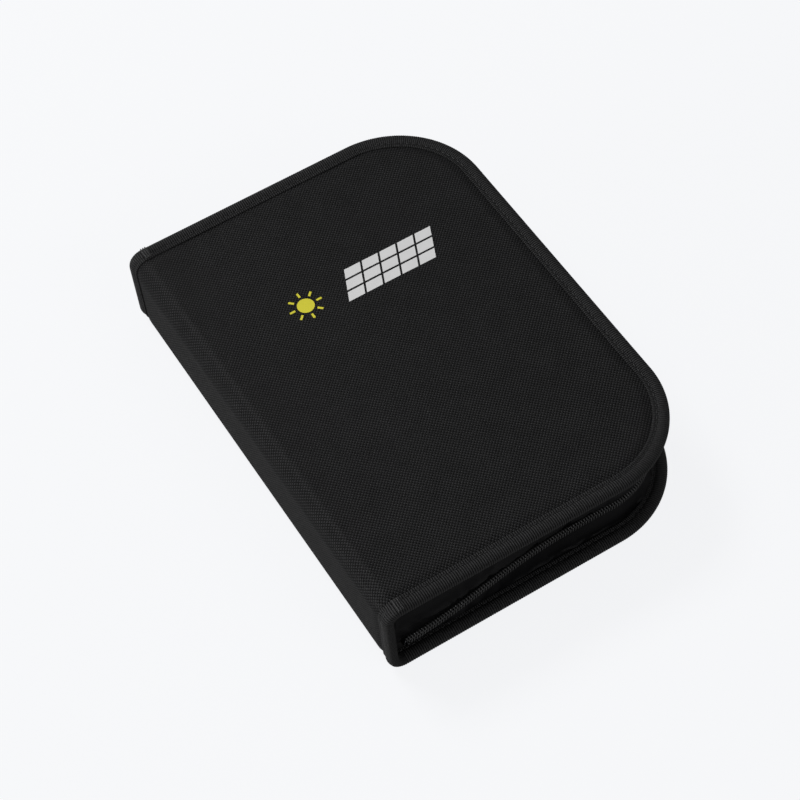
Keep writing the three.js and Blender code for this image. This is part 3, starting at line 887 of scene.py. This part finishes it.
gusset = {
    "seamInset": 0.0079,
    "cloth": 0.0005,
    "slack": 0.0016,             # how far the loose cloth bellies out
    "farSlack": 0.25,            # share of it left on the lower far side, where the slider runs
    "behind": 0.0013,            # the wall meets the zipper this far in from its middle
    "columns": 14,
    "step": 0.0022,
    "tapeCloth": 0.0004,
    "tapeStart": 0.52,           # share of the wall, from its seam, where the zipper's tape begins
    "simFrames": 14,
    "simSettings": {"quality": 6, "mass": 0.12, "tension_stiffness": 8, "compression_stiffness": 8,
                    "shear_stiffness": 4, "bending_stiffness": 0.4, "shrink_min": -0.03},
    "mostMove": 0.0012,
}
chain = {
    "pitch": 0.0014,
    "rowWidth": 0.0031,
    "depth": 0.0021,
    "filament": 0.00036,
    "sag": 0.0032,               # the zipper's lower end hangs this far below its line
    "sagTo": -0.012,
    "startX": -0.0750,
    # (x along the near side, how far in the zipper lies), then the two round corners and the far side
    "nearX": [-0.0797, -0.076, -0.055, -0.043, -0.026, -0.012, 0.004, 0.024, 0.037],
    "nearInset": [0.0016, 0.0016, 0.0026, 0.0040, 0.0062, 0.0082, 0.0098, 0.0103, 0.0105],
    "freeInset": 0.0080,
    "farInset": 0.0066,
}


def chainInset(lengths, total):
    straight = freeEdgeX - case["cornerRadius"] - wallStartX
    bend = case["cornerRadius"] * math.pi / 2
    stations = [x - wallStartX for x in chain["nearX"]] + [straight + bend, total - straight - bend,
                                                           total - straight, total]
    insets = chain["nearInset"] + [chain["freeInset"], chain["freeInset"], chain["farInset"], chain["farInset"]]
    return np.interp(lengths, stations, insets)


def chainPath(step):
    places, normals, lengths = outline(wallStartX, step)
    insets = chainInset(lengths, lengths[-1])
    width = max(int(0.012 / step), 1)
    padded = np.pad(insets, width, mode="edge")
    insets = np.convolve(padded, np.ones(2 * width + 1) / (2 * width + 1), mode="valid")
    xy = places - normals * insets[:, None]
    nearSpine = (1 - smoothStep(-0.082, chain["sagTo"], xy[:, 0])) * (xy[:, 1] < 0)
    return xy, normals, lengths, chainHeight(xy[:, 0]) - chain["sag"] * nearSpine


# One half of the wall, from the seam under the tape to the zipper. The share runs from seam to zipper.
def wallPoints(half, step, shares, behind, slack):
    places, normals, lengths = outline(wallStartX, step)
    xy, _, _, heights = chainPath(step)
    sign = 1 if half == "upper" else -1
    seamXY = places - normals * gusset["seamInset"]
    bendX = np.clip(coverStartX - seamXY[:, 0], 0, innerRadius)
    bow = innerRadius - np.sqrt(innerRadius ** 2 - bendX ** 2) + 0.0001
    if half == "upper":
        seam = onLid(np.column_stack([seamXY, lidTop - case["thickness"] - bow]))
    else:
        seam = np.column_stack([seamXY, case["thickness"] + bow])
    edge = np.column_stack([xy - normals * behind, heights + sign * 0.0004])
    shares = np.asarray(shares)
    points = seam[:, None, :] * (1 - shares)[None, :, None] + edge[:, None, :] * shares[None, :, None]
    belly = slack * np.sin(shares ** 0.7 * math.pi)[None, :] * (1 + 0.35 * np.sin(lengths * 61)[:, None])
    if half == "lower":
        belly = belly * (1 - (1 - gusset["farSlack"]) * smoothStep(0.04, 0.10, places[:, 1]))[:, None]
    points[:, :, :2] += normals[:, None, :] * belly[:, :, None]
    drop = np.linalg.norm(edge - seam, axis=1)
    return points, lengths, drop


def makeWall(half, body, cadNode):
    shares = np.linspace(0, 1, gusset["columns"])
    points, lengths, drop = wallPoints(half, gusset["step"], shares, gusset["behind"], gusset["slack"])
    uv = gridUv(lengths, shares * drop.mean())
    piece = gridPiece(f"{half}Wall", points, uv, taffeta)
    slacken(piece, points.shape[1])
    faceAway(piece, (0, 0, 0.02))
    thicken(piece, gusset["cloth"])
    settle(piece, body, [cadNode])
    return piece


# Lets the loose wall settle between its two sewn edges.
def slacken(piece, columns):
    start = readPoints(piece)
    index = np.arange(len(start)) % columns
    pinned = [int(i) for i in np.where((index == 0) | (index >= columns - 2))[0]]
    rows = len(start) // columns
    pinned += list(range(columns)) + list(range((rows - 1) * columns, rows * columns))
    group = piece.vertex_groups.new(name="sewn")
    group.add(sorted(set(pinned)), 1.0, "REPLACE")
    cloth = piece.modifiers.new("cloth", "CLOTH")
    cloth.settings.vertex_group_mass = "sewn"
    for setting, value in gusset["simSettings"].items():
        setattr(cloth.settings, setting, value)
    cloth.collision_settings.use_collision = False
    cloth.point_cache.frame_start = 1
    cloth.point_cache.frame_end = gusset["simFrames"]
    scene = bpy.context.scene
    for frameNumber in range(1, gusset["simFrames"] + 1):
        scene.frame_set(frameNumber)
    evaluated(piece)
    piece.vertex_groups.clear()
    scene.frame_set(1)
    move = readPoints(piece) - start
    size = np.linalg.norm(move, axis=1, keepdims=True)
    writePoints(piece, start + move * np.minimum(1, gusset["mostMove"] / np.maximum(size, 1e-9)))
    piece.data.shade_smooth()


makeWall("upper", "case_lid", "upper_gusset")
makeWall("lower", "case_base", "lower_gusset")
print("side walls made")


# The zipper's tape lies behind the wall's loose edge and carries the teeth.
def makeZipTape(half, body, cadNode):
    shares = np.linspace(gusset["tapeStart"], 1, 9)
    points, lengths, drop = wallPoints(half, gusset["step"], shares, gusset["behind"], gusset["slack"])
    _, normals, _ = outline(wallStartX, gusset["step"])
    inward = np.interp(shares, [gusset["tapeStart"], 0.9, 1], [0.0028, 0.0010, -0.0002])
    points[:, :, :2] -= normals[:, None, :] * inward[None, :, None]
    piece = gridPiece(f"{half}ZipTape", points, gridUv(lengths, shares * drop.mean()), zipTape)
    faceAway(piece, (0, 0, 0.02))
    thicken(piece, gusset["tapeCloth"], 1.0)
    settle(piece, body, [cadNode])


def makeCoil(half, body, cadNode):
    xy, normals, lengths, heights = chainPath(0.0012)
    keep = (xy[:, 0] > chain["startX"]) | (lengths > lengths[-1] * 0.5)
    sign = 1 if half == "upper" else -1
    line = np.column_stack([xy, heights + sign * (chain["rowWidth"] / 2 - 0.0004)])[keep]
    outward = np.column_stack([normals, np.zeros(len(normals))])[keep]
    upward = np.tile([0, 0, float(sign)], (len(line), 1))
    line += outward * (chain["depth"] / 2 - 0.0006)
    piece = linePiece(f"{half}Coil", line, {"acrossWay": upward, "outWay": outward})
    grow(piece, coils, finish["coilPlastic"], Pitch=chain["pitch"],
         Width=chain["rowWidth"] - 2 * chain["filament"], Depth=chain["depth"] - 2 * chain["filament"],
         Phase=0.0 if half == "upper" else math.pi,
         Filament_Radius=chain["filament"])
    settle(piece, body, [cadNode])


endStop = {"back": 0.0016, "front": 0.0004, "outside": 0.0011, "inside": 0.0008, "halfHeight": 0.0026,
           "corner": 0.0007}


# The bottom stop clamps both rows where the zipper begins.
def makeEndStop():
    xy, normals, lengths, heights = chainPath(0.0012)
    start = int(np.argmax(xy[:, 0] > chain["startX"]))
    x, y = xy[start]
    low = (x - endStop["back"], y - endStop["outside"], heights[start] - endStop["halfHeight"])
    high = (x + endStop["front"], y + endStop["inside"], heights[start] + endStop["halfHeight"])
    stop = roundedSlab("zipperEndStop", low, high, endStop["corner"], finish["gunmetal"], rows=6, columns=8)
    settle(stop, "case_base", ["zipper_end_stop"])


for half, body in (("upper", "case_lid"), ("lower", "case_base")):
    makeZipTape(half, body, f"{half}_zipper_tape")
    makeCoil(half, body, f"{half}_zipper_coil")
print("zipper made")


mark = {
    "centre": (-0.002, 0.044),
    "lift": 0.00012,
    "thickness": 0.00008,
    "sunRadius": 0.0042,
    "rayInner": 0.0057,
    "rayOuter": 0.0085,
    "rayWidth": 0.0011,
    "sunAt": (-0.026, 0.001),
    "cell": (0.0086, 0.0052),
    "cellGap": 0.0011,
    "cells": (5, 3),
    "slant": 0.0022,
    "panelAt": (-0.008, -0.0085),
    "pieces": 40,
}


# Prints flat shapes on the lid, following the cover's surface.
def printOnLid(name, shapes, material):
    vertices, faces = [], []
    for shape in shapes:
        first = len(vertices)
        vertices += shape
        faces.append(tuple(range(first, len(vertices))))
    flat = np.array(vertices)
    xs = flat[:, 0] + mark["centre"][0]
    ys = flat[:, 1] + mark["centre"][1]
    zs = lidTop + ripple(xs, ys, cover["ripple"]) * smoothStep(0, 0.02, xs - coverStartX) + mark["lift"]
    piece = newPiece(name, onLid(np.column_stack([xs, ys, zs])), faces,
                     np.column_stack([xs, ys]), material, smooth=False)
    faceOut(piece, 1)
    thicken(piece, mark["thickness"])
    piece.data.shade_flat()
    return settle(piece, "case_lid")


def makeMark():
    sunX, sunY = mark["sunAt"]
    turn = 2 * math.pi / mark["pieces"]
    disc = [(sunX + mark["sunRadius"] * math.cos(turn * i), sunY + mark["sunRadius"] * math.sin(turn * i))
            for i in range(mark["pieces"])]
    shapes = [disc]
    for i in range(8):
        along = Vector((math.cos(i * math.pi / 4), math.sin(i * math.pi / 4)))
        across = Vector((-along.y, along.x)) * mark["rayWidth"] / 2
        inner = Vector((sunX, sunY)) + along * mark["rayInner"]
        outer = Vector((sunX, sunY)) + along * mark["rayOuter"]
        shapes.append([tuple(corner) for corner in (inner - across, outer - across,
                                                    outer + across, inner + across)])
    printOnLid("sunMark", shapes, finish["printYellow"])
    cells = []
    width, height = mark["cell"]
    for column in range(mark["cells"][0]):
        for row in range(mark["cells"][1]):
            x = mark["panelAt"][0] + column * (width + mark["cellGap"])
            y = mark["panelAt"][1] + row * (height + mark["cellGap"])
            lean = mark["slant"] / height
            cells.append([(x + (y - mark["panelAt"][1]) * lean, y),
                          (x + width + (y - mark["panelAt"][1]) * lean, y),
                          (x + width + (y + height - mark["panelAt"][1]) * lean, y + height),
                          (x + (y + height - mark["panelAt"][1]) * lean, y + height)])
    printOnLid("panelMark", cells, finish["printWhite"])


makeMark()
print("mark printed")


# A flat sewn panel with full round edges and rounded corners.
def roundedSlab(name, low, high, corner, material, place=onBase, rows=30, columns=26, puff=0.0):
    half = (high[2] - low[2]) / 2
    middleZ = (high[2] + low[2]) / 2
    middleY = (high[1] + low[1]) / 2
    halfY = (high[1] - low[1]) / 2
    near = [corner * (1 - math.cos(a)) for a in np.linspace(0, math.pi / 2, 9)]
    tight = [half * (1 - math.cos(a)) for a in np.linspace(0.25, math.pi / 2, 4)]
    insets = sorted(set(near[1:] + tight + [half * 0.02]))
    length = high[0] - low[0]
    inside = list(np.linspace(corner, length - corner, rows)[1:-1])
    stations = insets + inside + [length - inset for inset in reversed(insets)]
    ring = []
    for a in np.linspace(-math.pi / 2, math.pi / 2, 7):
        ring.append((1, math.cos(a), math.sin(a)))
    flats = np.linspace(1, -1, columns)[1:-1]
    upper = [(share, 0, 1) for share in flats]
    left = [(-1, -math.cos(a), math.sin(a)) for a in np.linspace(math.pi / 2, -math.pi / 2, 7)]
    lower = [(share, 0, -1) for share in flats[::-1]]
    ring = ring + upper + left + lower
    points = np.zeros((len(stations), len(ring), 3))
    for i, s in enumerate(stations):
        inset = min(s, length - s)
        back = corner - math.sqrt(max(corner ** 2 - (corner - inset) ** 2, 0)) if inset < corner else 0
        slim = math.sqrt(max(half ** 2 - (half - inset) ** 2, 0)) if inset < half else half
        straightY = halfY - half - back
        crown = puff * math.sin(math.pi * min(max(s / length, 0), 1))
        for j, (side, out, up) in enumerate(ring):
            bow = crown * math.cos(side * math.pi / 2) if abs(side) < 1 else 0
            points[i, j] = (low[0] + s, middleY + side * straightY + out * half,
                            middleZ + up * (slim + bow))
    return gridPiece(name, place(points), points[..., :2].copy(), material, closed=True, caps=True)


def perimeter(low, high, inset, corner, z):
    x0, x1, y0, y1 = low[0] + inset, high[0] - inset, low[1] + inset, high[1] - inset
    r = max(corner - inset, 0.0005)
    points = []
    for cx, cy, first in ((x1 - r, y1 - r, 0), (x0 + r, y1 - r, 90),
                          (x0 + r, y0 + r, 180), (x1 - r, y0 + r, 270)):
        for a in np.linspace(0, 90, 5):
            angle = math.radians(first + a)
            points.append((cx + r * math.cos(angle), cy + r * math.sin(angle), z))
    points.append(points[0])
    return np.array(points)


# Repeats one bar over a grid, for the cells and the silver lines on them.
def barTree():
    tree, entry = newTree("barGrid", Columns=2, Rows=6, Span_X=0.05, Span_Y=0.1, Bar_X=0.02, Bar_Y=0.02,
                          Bar_Z=0.0001, Middle=(0.0, 0.0, 0.0))
    grid = addNode(tree, "GeometryNodeMeshGrid", {"Size X": entry["Span X"], "Size Y": entry["Span Y"],
                                                  "Vertices X": entry["Columns"], "Vertices Y": entry["Rows"]})
    size = addNode(tree, "ShaderNodeCombineXYZ", {i: entry[f"Bar {axis}"] for i, axis in enumerate("XYZ")})
    bar = addNode(tree, "GeometryNodeMeshCube", {"Size": size.outputs[0]})
    spread = addNode(tree, "GeometryNodeInstanceOnPoints",
                     {"Points": grid.outputs["Mesh"], "Instance": bar.outputs["Mesh"]})
    move = addNode(tree, "GeometryNodeTransform",
                   {"Geometry": spread.outputs[0], "Translation": entry["Middle"]})
    return endTree(tree, move.outputs[0], entry)


bars = barTree()


def makeBars(name, material, body, slot, place=None, **values):
    piece = grow(linePiece(name, [(0, 0, 0), (0, 0, 0.001)]), bars, material, **values)
    if place is not None:
        writePoints(piece, place(readPoints(piece)))
    return settle(piece, body)


# A laminated film with dark cells under it, three silver lines to a cell.
solar = {
    "cellThickness": 0.00008,
    "cellGap": 0.0022,
    "margin": 0.0022,
    "lineWidth": 0.0005,
    "lineThickness": 0.00004,
    "corner": 0.002,
}


def makeSolarFace(name, low, high, columns, rows, faceUp, body, cadNode, place=onBase):
    film = roundedSlab(f"{name}Film", low, high, solar["corner"], finish["solarFilm"], place,
                       rows=16, columns=30)
    settle(film, body, [cadNode])
    face = high[2] if faceUp else low[2]
    sign = 1 if faceUp else -1
    width = high[0] - low[0] - 2 * solar["margin"]
    length = high[1] - low[1] - 2 * solar["margin"]
    cellX = (width - (columns - 1) * solar["cellGap"]) / columns
    cellY = (length - (rows - 1) * solar["cellGap"]) / rows
    middle = ((low[0] + high[0]) / 2, (low[1] + high[1]) / 2, face + sign * solar["cellThickness"] / 2)
    makeBars(f"{name}Cells", finish["solarCell"], body, "solar_film", place, Columns=columns, Rows=rows,
             Span_X=width - cellX, Span_Y=length - cellY, Bar_X=cellX, Bar_Y=cellY,
             Bar_Z=solar["cellThickness"], Middle=middle)
    lift = solar["cellThickness"] + solar["lineThickness"] / 2
    lines = columns * 3
    makeBars(f"{name}Lines", finish["silverLine"], body, "solar_film", place, Columns=lines, Rows=1,
             Span_X=width - cellX / 3, Span_Y=0.0, Bar_X=solar["lineWidth"], Bar_Y=length - 0.001,
             Bar_Z=solar["lineThickness"], Middle=(middle[0], middle[1], face + sign * lift))


makeEndStop()
leafBodies = ["case_base", "leaf_2", "leaf_3", "leaf_4", "leaf_5"]
leaf = {
    "corner": 0.004,
    "stitchInset": 0.0016,
    "stitchPitch": 0.0032,
}


def makeLeaf(number, body):
    low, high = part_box(f"leaf_{number}_panel")
    panel = roundedSlab(f"leaf{number}Panel", low, high, leaf["corner"], taffeta)
    settle(panel, body, [f"leaf_{number}_panel"])
    for side, z in (("top", high.z + 0.00005), ("under", low.z - 0.00005)):
        stitchLine(f"leaf{number}Stitches_{side}", perimeter(low, high, leaf["stitchInset"], leaf["corner"], z),
                   body, "polyester", Pitch=leaf["stitchPitch"], **leafThread)
    cellLow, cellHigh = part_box(f"leaf_{number}_cells")
    makeSolarFace(f"leaf{number}", cellLow, cellHigh, 2, 5 if number == 5 else 6, number % 2 == 1, body,
                  f"leaf_{number}_cells")


for number, body in enumerate(leafBodies, 1):
    makeLeaf(number, body)


lidPanel = {
    "panel": ((-0.072, -0.084, 0.0393), (0.062, 0.084, 0.0407)),
    "cells": ((-0.069, -0.081, 0.0385), (0.059, 0.081, 0.0390)),
    "columns": 5,
    "rows": 6,
}


# The lid's own panel, drawn flat and then laid on the lid's slight swell.
def makeLidPanel():
    low, high = lidPanel["panel"]
    panel = roundedSlab("lidPanel", low, high, leaf["corner"], taffeta, onLid)
    settle(panel, "case_lid", ["lid_panel"])
    for side, z in (("top", high[2] + 0.00005), ("under", low[2] - 0.00005)):
        row = perimeter(low, high, leaf["stitchInset"], leaf["corner"], z)
        stitchLine(f"lidPanelStitches_{side}", onLid(row), "case_lid", "polyester",
                   Pitch=leaf["stitchPitch"], **leafThread)
    makeSolarFace("lid", *lidPanel["cells"], lidPanel["columns"], lidPanel["rows"], False, "case_lid",
                  "lid_cells", onLid)


makeLidPanel()
print("panels made")


web = {
    "lap": 0.0030,               # how far it is glued onto each leaf
    "shoulder": 0.0004,
    "bulge": 0.0003,
    "lift": 0.0001,
    "halfLength": 0.0855,
    "rows": 60,
    "cloth": 0.0003,
    "inBoard": 0.0014,           # its folds start this deep in the two leaves
    "freeSideX": 0.0605,
    "spineSideX": 0.0040,
}


# The cloth webs that join each leaf to the next, built in place and attached to no body.
def makeWeb(name, outerX, lowZ, highZ, sideways, cadNode):
    lap, shoulder, lift = sideways * web["lap"], web["shoulder"], web["lift"]
    path = [(outerX - lap, lowZ - lift), (outerX - sideways * shoulder, lowZ - lift),
            (outerX + sideways * lift, lowZ + shoulder),
            (outerX + sideways * web["bulge"], (lowZ + highZ) / 2),
            (outerX + sideways * lift, highZ - shoulder), (outerX - sideways * shoulder, highZ + lift),
            (outerX - lap, highZ + lift)]
    ys = np.linspace(-web["halfLength"], web["halfLength"], web["rows"])
    points = np.array([[(x, y, z) for x, z in path] for y in ys])
    piece = gridPiece(name, points, gridUv(ys, profileLengths(path)), taffeta)
    thicken(piece, web["cloth"], 0.0)
    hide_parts(cadNode)
    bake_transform(piece)


def makeWebs():
    for first in range(1, 5):
        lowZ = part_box(f"leaf_{first}_panel")[1].z
        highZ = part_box(f"leaf_{first + 1}_panel")[0].z
        sideways = 1 if first % 2 == 1 else -1
        outer = web["freeSideX"] if sideways > 0 else web["spineSideX"]
        makeWeb(f"leafWeb{first}", outer + sideways * web["bulge"], lowZ - web["inBoard"],
                highZ + web["inBoard"], sideways,
                f"hinge_web_{first}_{first + 1}")


makeWebs()


pocket = {
    "corner": 0.006,
    "step": 0.004,
    "levels": 10,
    "tuck": 0.0005,              # the wall pulls in this much at its foot and its rim
    "cloth": 0.0008,
    "hemWidth": 0.0080,
    "seamX": 0.0065,
}


# The pocket under the leaves: three soft walls, a top, and a taped mouth towards the controller.
def makePocket():
    low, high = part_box("lead_pocket")
    radius = pocket["corner"]
    path = [(low.x, low.y)]
    for centreY, angles in ((low.y + radius, np.linspace(-90, 0, 9)), (high.y - radius, np.linspace(0, 90, 9))):
        for angle in angles:
            turn = math.radians(angle)
            path.append((high.x - radius + radius * math.cos(turn), centreY + radius * math.sin(turn)))
    path.append((low.x, high.y))
    fine = []
    for (x0, y0), (x1, y1) in zip(path[:-1], path[1:]):
        count = max(int(math.hypot(x1 - x0, y1 - y0) / pocket["step"]), 1)
        fine += [(x0 + (x1 - x0) * i / count, y0 + (y1 - y0) * i / count) for i in range(count)]
    fine = np.array(fine + [path[-1]])
    lengths = profileLengths(fine)
    heights = np.linspace(low.z, high.z, pocket["levels"])
    centre = np.array([(low.x + high.x) / 2, 0])
    points = np.zeros((len(fine), len(heights), 3))
    for j, z in enumerate(heights):
        tuck = pocket["tuck"] * (1 + math.cos(2 * math.pi * (j / (pocket["levels"] - 1))))
        pull = (fine - centre) / np.linalg.norm(fine - centre, axis=1, keepdims=True)
        points[:, j, :2] = fine - pull * tuck
        points[:, j, 2] = z
    wall = gridPiece("leadPocketWall", points, gridUv(lengths, heights), taffeta)
    faceAway(wall, (0.03, 0, 0.01))
    thicken(wall, pocket["cloth"])
    settle(wall, "case_base", ["lead_pocket"])
    top = roundedSlab("leadPocketTop", (low.x, low.y + 0.0008, high.z - 0.0011), (high.x - 0.0008,
                      high.y - 0.0008, high.z - 0.0002), 0.0055, taffeta, puff=0.0001)
    settle(top, "case_base")
    hem = roundedSlab("leadPocketHem", (low.x - 0.0004, low.y + 0.0015, high.z - 0.0014),
                      (low.x + pocket["hemWidth"], high.y - 0.0015, high.z - 0.0001), 0.0008, grosgrain, rows=8)
    settle(hem, "case_base")
    seam = np.array([(low.x + pocket["seamX"], low.y + 0.003, high.z),
                     (low.x + pocket["seamX"], high.y - 0.003, high.z)])
    stitchLine("leadPocketStitches", seam, "case_base", "taffeta", Pitch=0.003, **leafThread)
    base = roundedSlab("leadPocketBase", (low.x, low.y + 0.001, low.z - 0.0002), (high.x - 0.001,
                       high.y - 0.001, low.z + 0.0003), 0.005, taffeta)
    settle(base, "case_base")


makePocket()
print("webs and pocket made")


# Hard parts keep their drawn shape, with the moulded or stamped edges rounded.
def finishedCopy(name, nodeName, edge, material, body, slot, segments=2, angle=30):
    source = frame["nodes"][nodeName]
    if not hasattr(source, "data"):
        source = bpy.data.objects[nodeName]
    mesh = source.data.copy()
    piece = bpy.data.objects.new(name, mesh)
    bpy.context.scene.collection.objects.link(piece)

    def edit(work):
        bmesh.ops.remove_doubles(work, verts=work.verts, dist=0.000002)
        bmesh.ops.dissolve_limit(work, angle_limit=math.radians(1.0), verts=work.verts, edges=work.edges)
        bmesh.ops.recalc_face_normals(work, faces=work.faces)
    editMesh(piece, edit)
    modifier = piece.modifiers.new("edges", "BEVEL")
    modifier.width = edge
    modifier.segments = segments
    modifier.limit_method = "ANGLE"
    modifier.angle_limit = math.radians(angle)
    modifier.harden_normals = True
    evaluated(piece)
    piece.data.materials.clear()
    piece.data.materials.append(material)
    return settle(piece, body, [nodeName])


hardParts = [
    ("controllerTray", "controller_tray", 0.0005, finish["mouldedPlastic"], "case_base", "black_plastic"),
    ("controllerLid", "controller_lid", 0.0006, finish["mouldedPlastic"], "case_base", "black_plastic"),
    ("circuitBoard", "circuit_board", 0.0001, finish["boardGreen"], "case_base", "circuit_green"),
    ("usbSocket1", "usb_socket_1", 0.00015, finish["steel"], "case_base", "steel"),
    ("usbSocket2", "usb_socket_2", 0.00015, finish["steel"], "case_base", "steel"),
    ("statusLens", "status_lens", 0.0003, finish["lensPlastic"], "case_base", "lens_white"),
    ("powerButton", "power_button", 0.0006, finish["buttonYellow"], "button", "button_yellow"),
    ("zipperSlider", "zipper_slider", 0.0003, finish["gunmetal"], "slider", "gunmetal"),
    ("pullTab", "pull_tab", 0.0002, finish["gunmetal"], "pull", "gunmetal"),
    ("grommetNear", "grommet_near", 0.0003, finish["steel"], "leaf_5", "steel"),
    ("grommetFar", "grommet_far", 0.0003, finish["steel"], "leaf_5", "steel"),
]
for part in hardParts:
    finishedCopy(*part)
for i in range(1, 5):
    finishedCopy(f"lidScrew{i}", f"lid_screw_{i}", 0.0002, finish["steel"], "case_base", "steel")
print("hard parts finished")


# Camera, floor and light.
studio = {
    "aim": (-0.01236, -0.01080, 0.0225),
    "distance": 1.05975,
    "azimuth": math.radians(-25.652),
    "elevation": math.radians(54.129),
    "roll": math.radians(-6.843),
    "lens": 103.24,
    "sensor": 36.0,
    "skyLight": 0.2,
    "floorReach": 80,
    # name: place, size, power
    "lamps": {"keyLight": ((-0.5, 1.5, 1.9), (1.0, 0.7), 30),
              "rimLight": ((-2.1, 0.1, 0.26), (1.2, 0.26), 25),
              "frontLight": ((0.6, -1.9, 1.3), (1.4, 0.6), 8)},
}


def makeCamera():
    data = bpy.data.cameras.new("camera")
    data.lens = studio["lens"]
    data.sensor_width = studio["sensor"]
    camera = bpy.data.objects.new("camera", data)
    bpy.context.scene.collection.objects.link(camera)
    turn = (Matrix.Rotation(studio["azimuth"], 4, "Z")
            @ Matrix.Rotation(math.pi / 2 - studio["elevation"], 4, "X")
            @ Matrix.Rotation(studio["roll"], 4, "Z"))
    back = turn @ Vector((0, 0, 1))
    camera.matrix_world = Matrix.Translation(Vector(studio["aim"]) + back * studio["distance"]) @ turn
    bpy.context.scene.camera = camera


def makeFloor():
    reach = studio["floorReach"]
    corners = [(-reach, -reach, 0), (reach, -reach, 0), (reach, reach, 0), (-reach, reach, 0)]
    floor = newPiece("floor", corners, [(0, 1, 2, 3)], smooth=False)
    material, tree, shader = newMaterial("paleFloor", (0.10, 0.101, 0.102), 0.95,
                                         **{"Emission Color": (0.974, 0.982, 1.0, 1), "Emission Strength": 0.88,
                                            "Specular IOR Level": 0.0})
    floor.data.materials.append(material)
    floor.location.z = -0.0003
    floor.visible_diffuse = False
    floor.visible_glossy = False


def addArea(name, place, size, power):
    data = bpy.data.lights.new(name, "AREA")
    data.shape = "RECTANGLE"
    data.size, data.size_y = size
    data.energy = power
    lamp = bpy.data.objects.new(name, data)
    bpy.context.scene.collection.objects.link(lamp)
    lamp.location = place
    lamp.rotation_euler = (-Vector(place)).to_track_quat("-Z", "Y").to_euler()


def makeLight():
    world = bpy.data.worlds.new("studio")
    world.use_nodes = True
    world.node_tree.nodes["Background"].inputs["Color"].default_value = (1, 1, 1, 1)
    world.node_tree.nodes["Background"].inputs["Strength"].default_value = studio["skyLight"]
    bpy.context.scene.world = world
    for name, lamp in studio["lamps"].items():
        addArea(name, *lamp)


makeCamera()
makeFloor()
makeLight()
bpy.context.scene.view_settings.view_transform = "Standard"
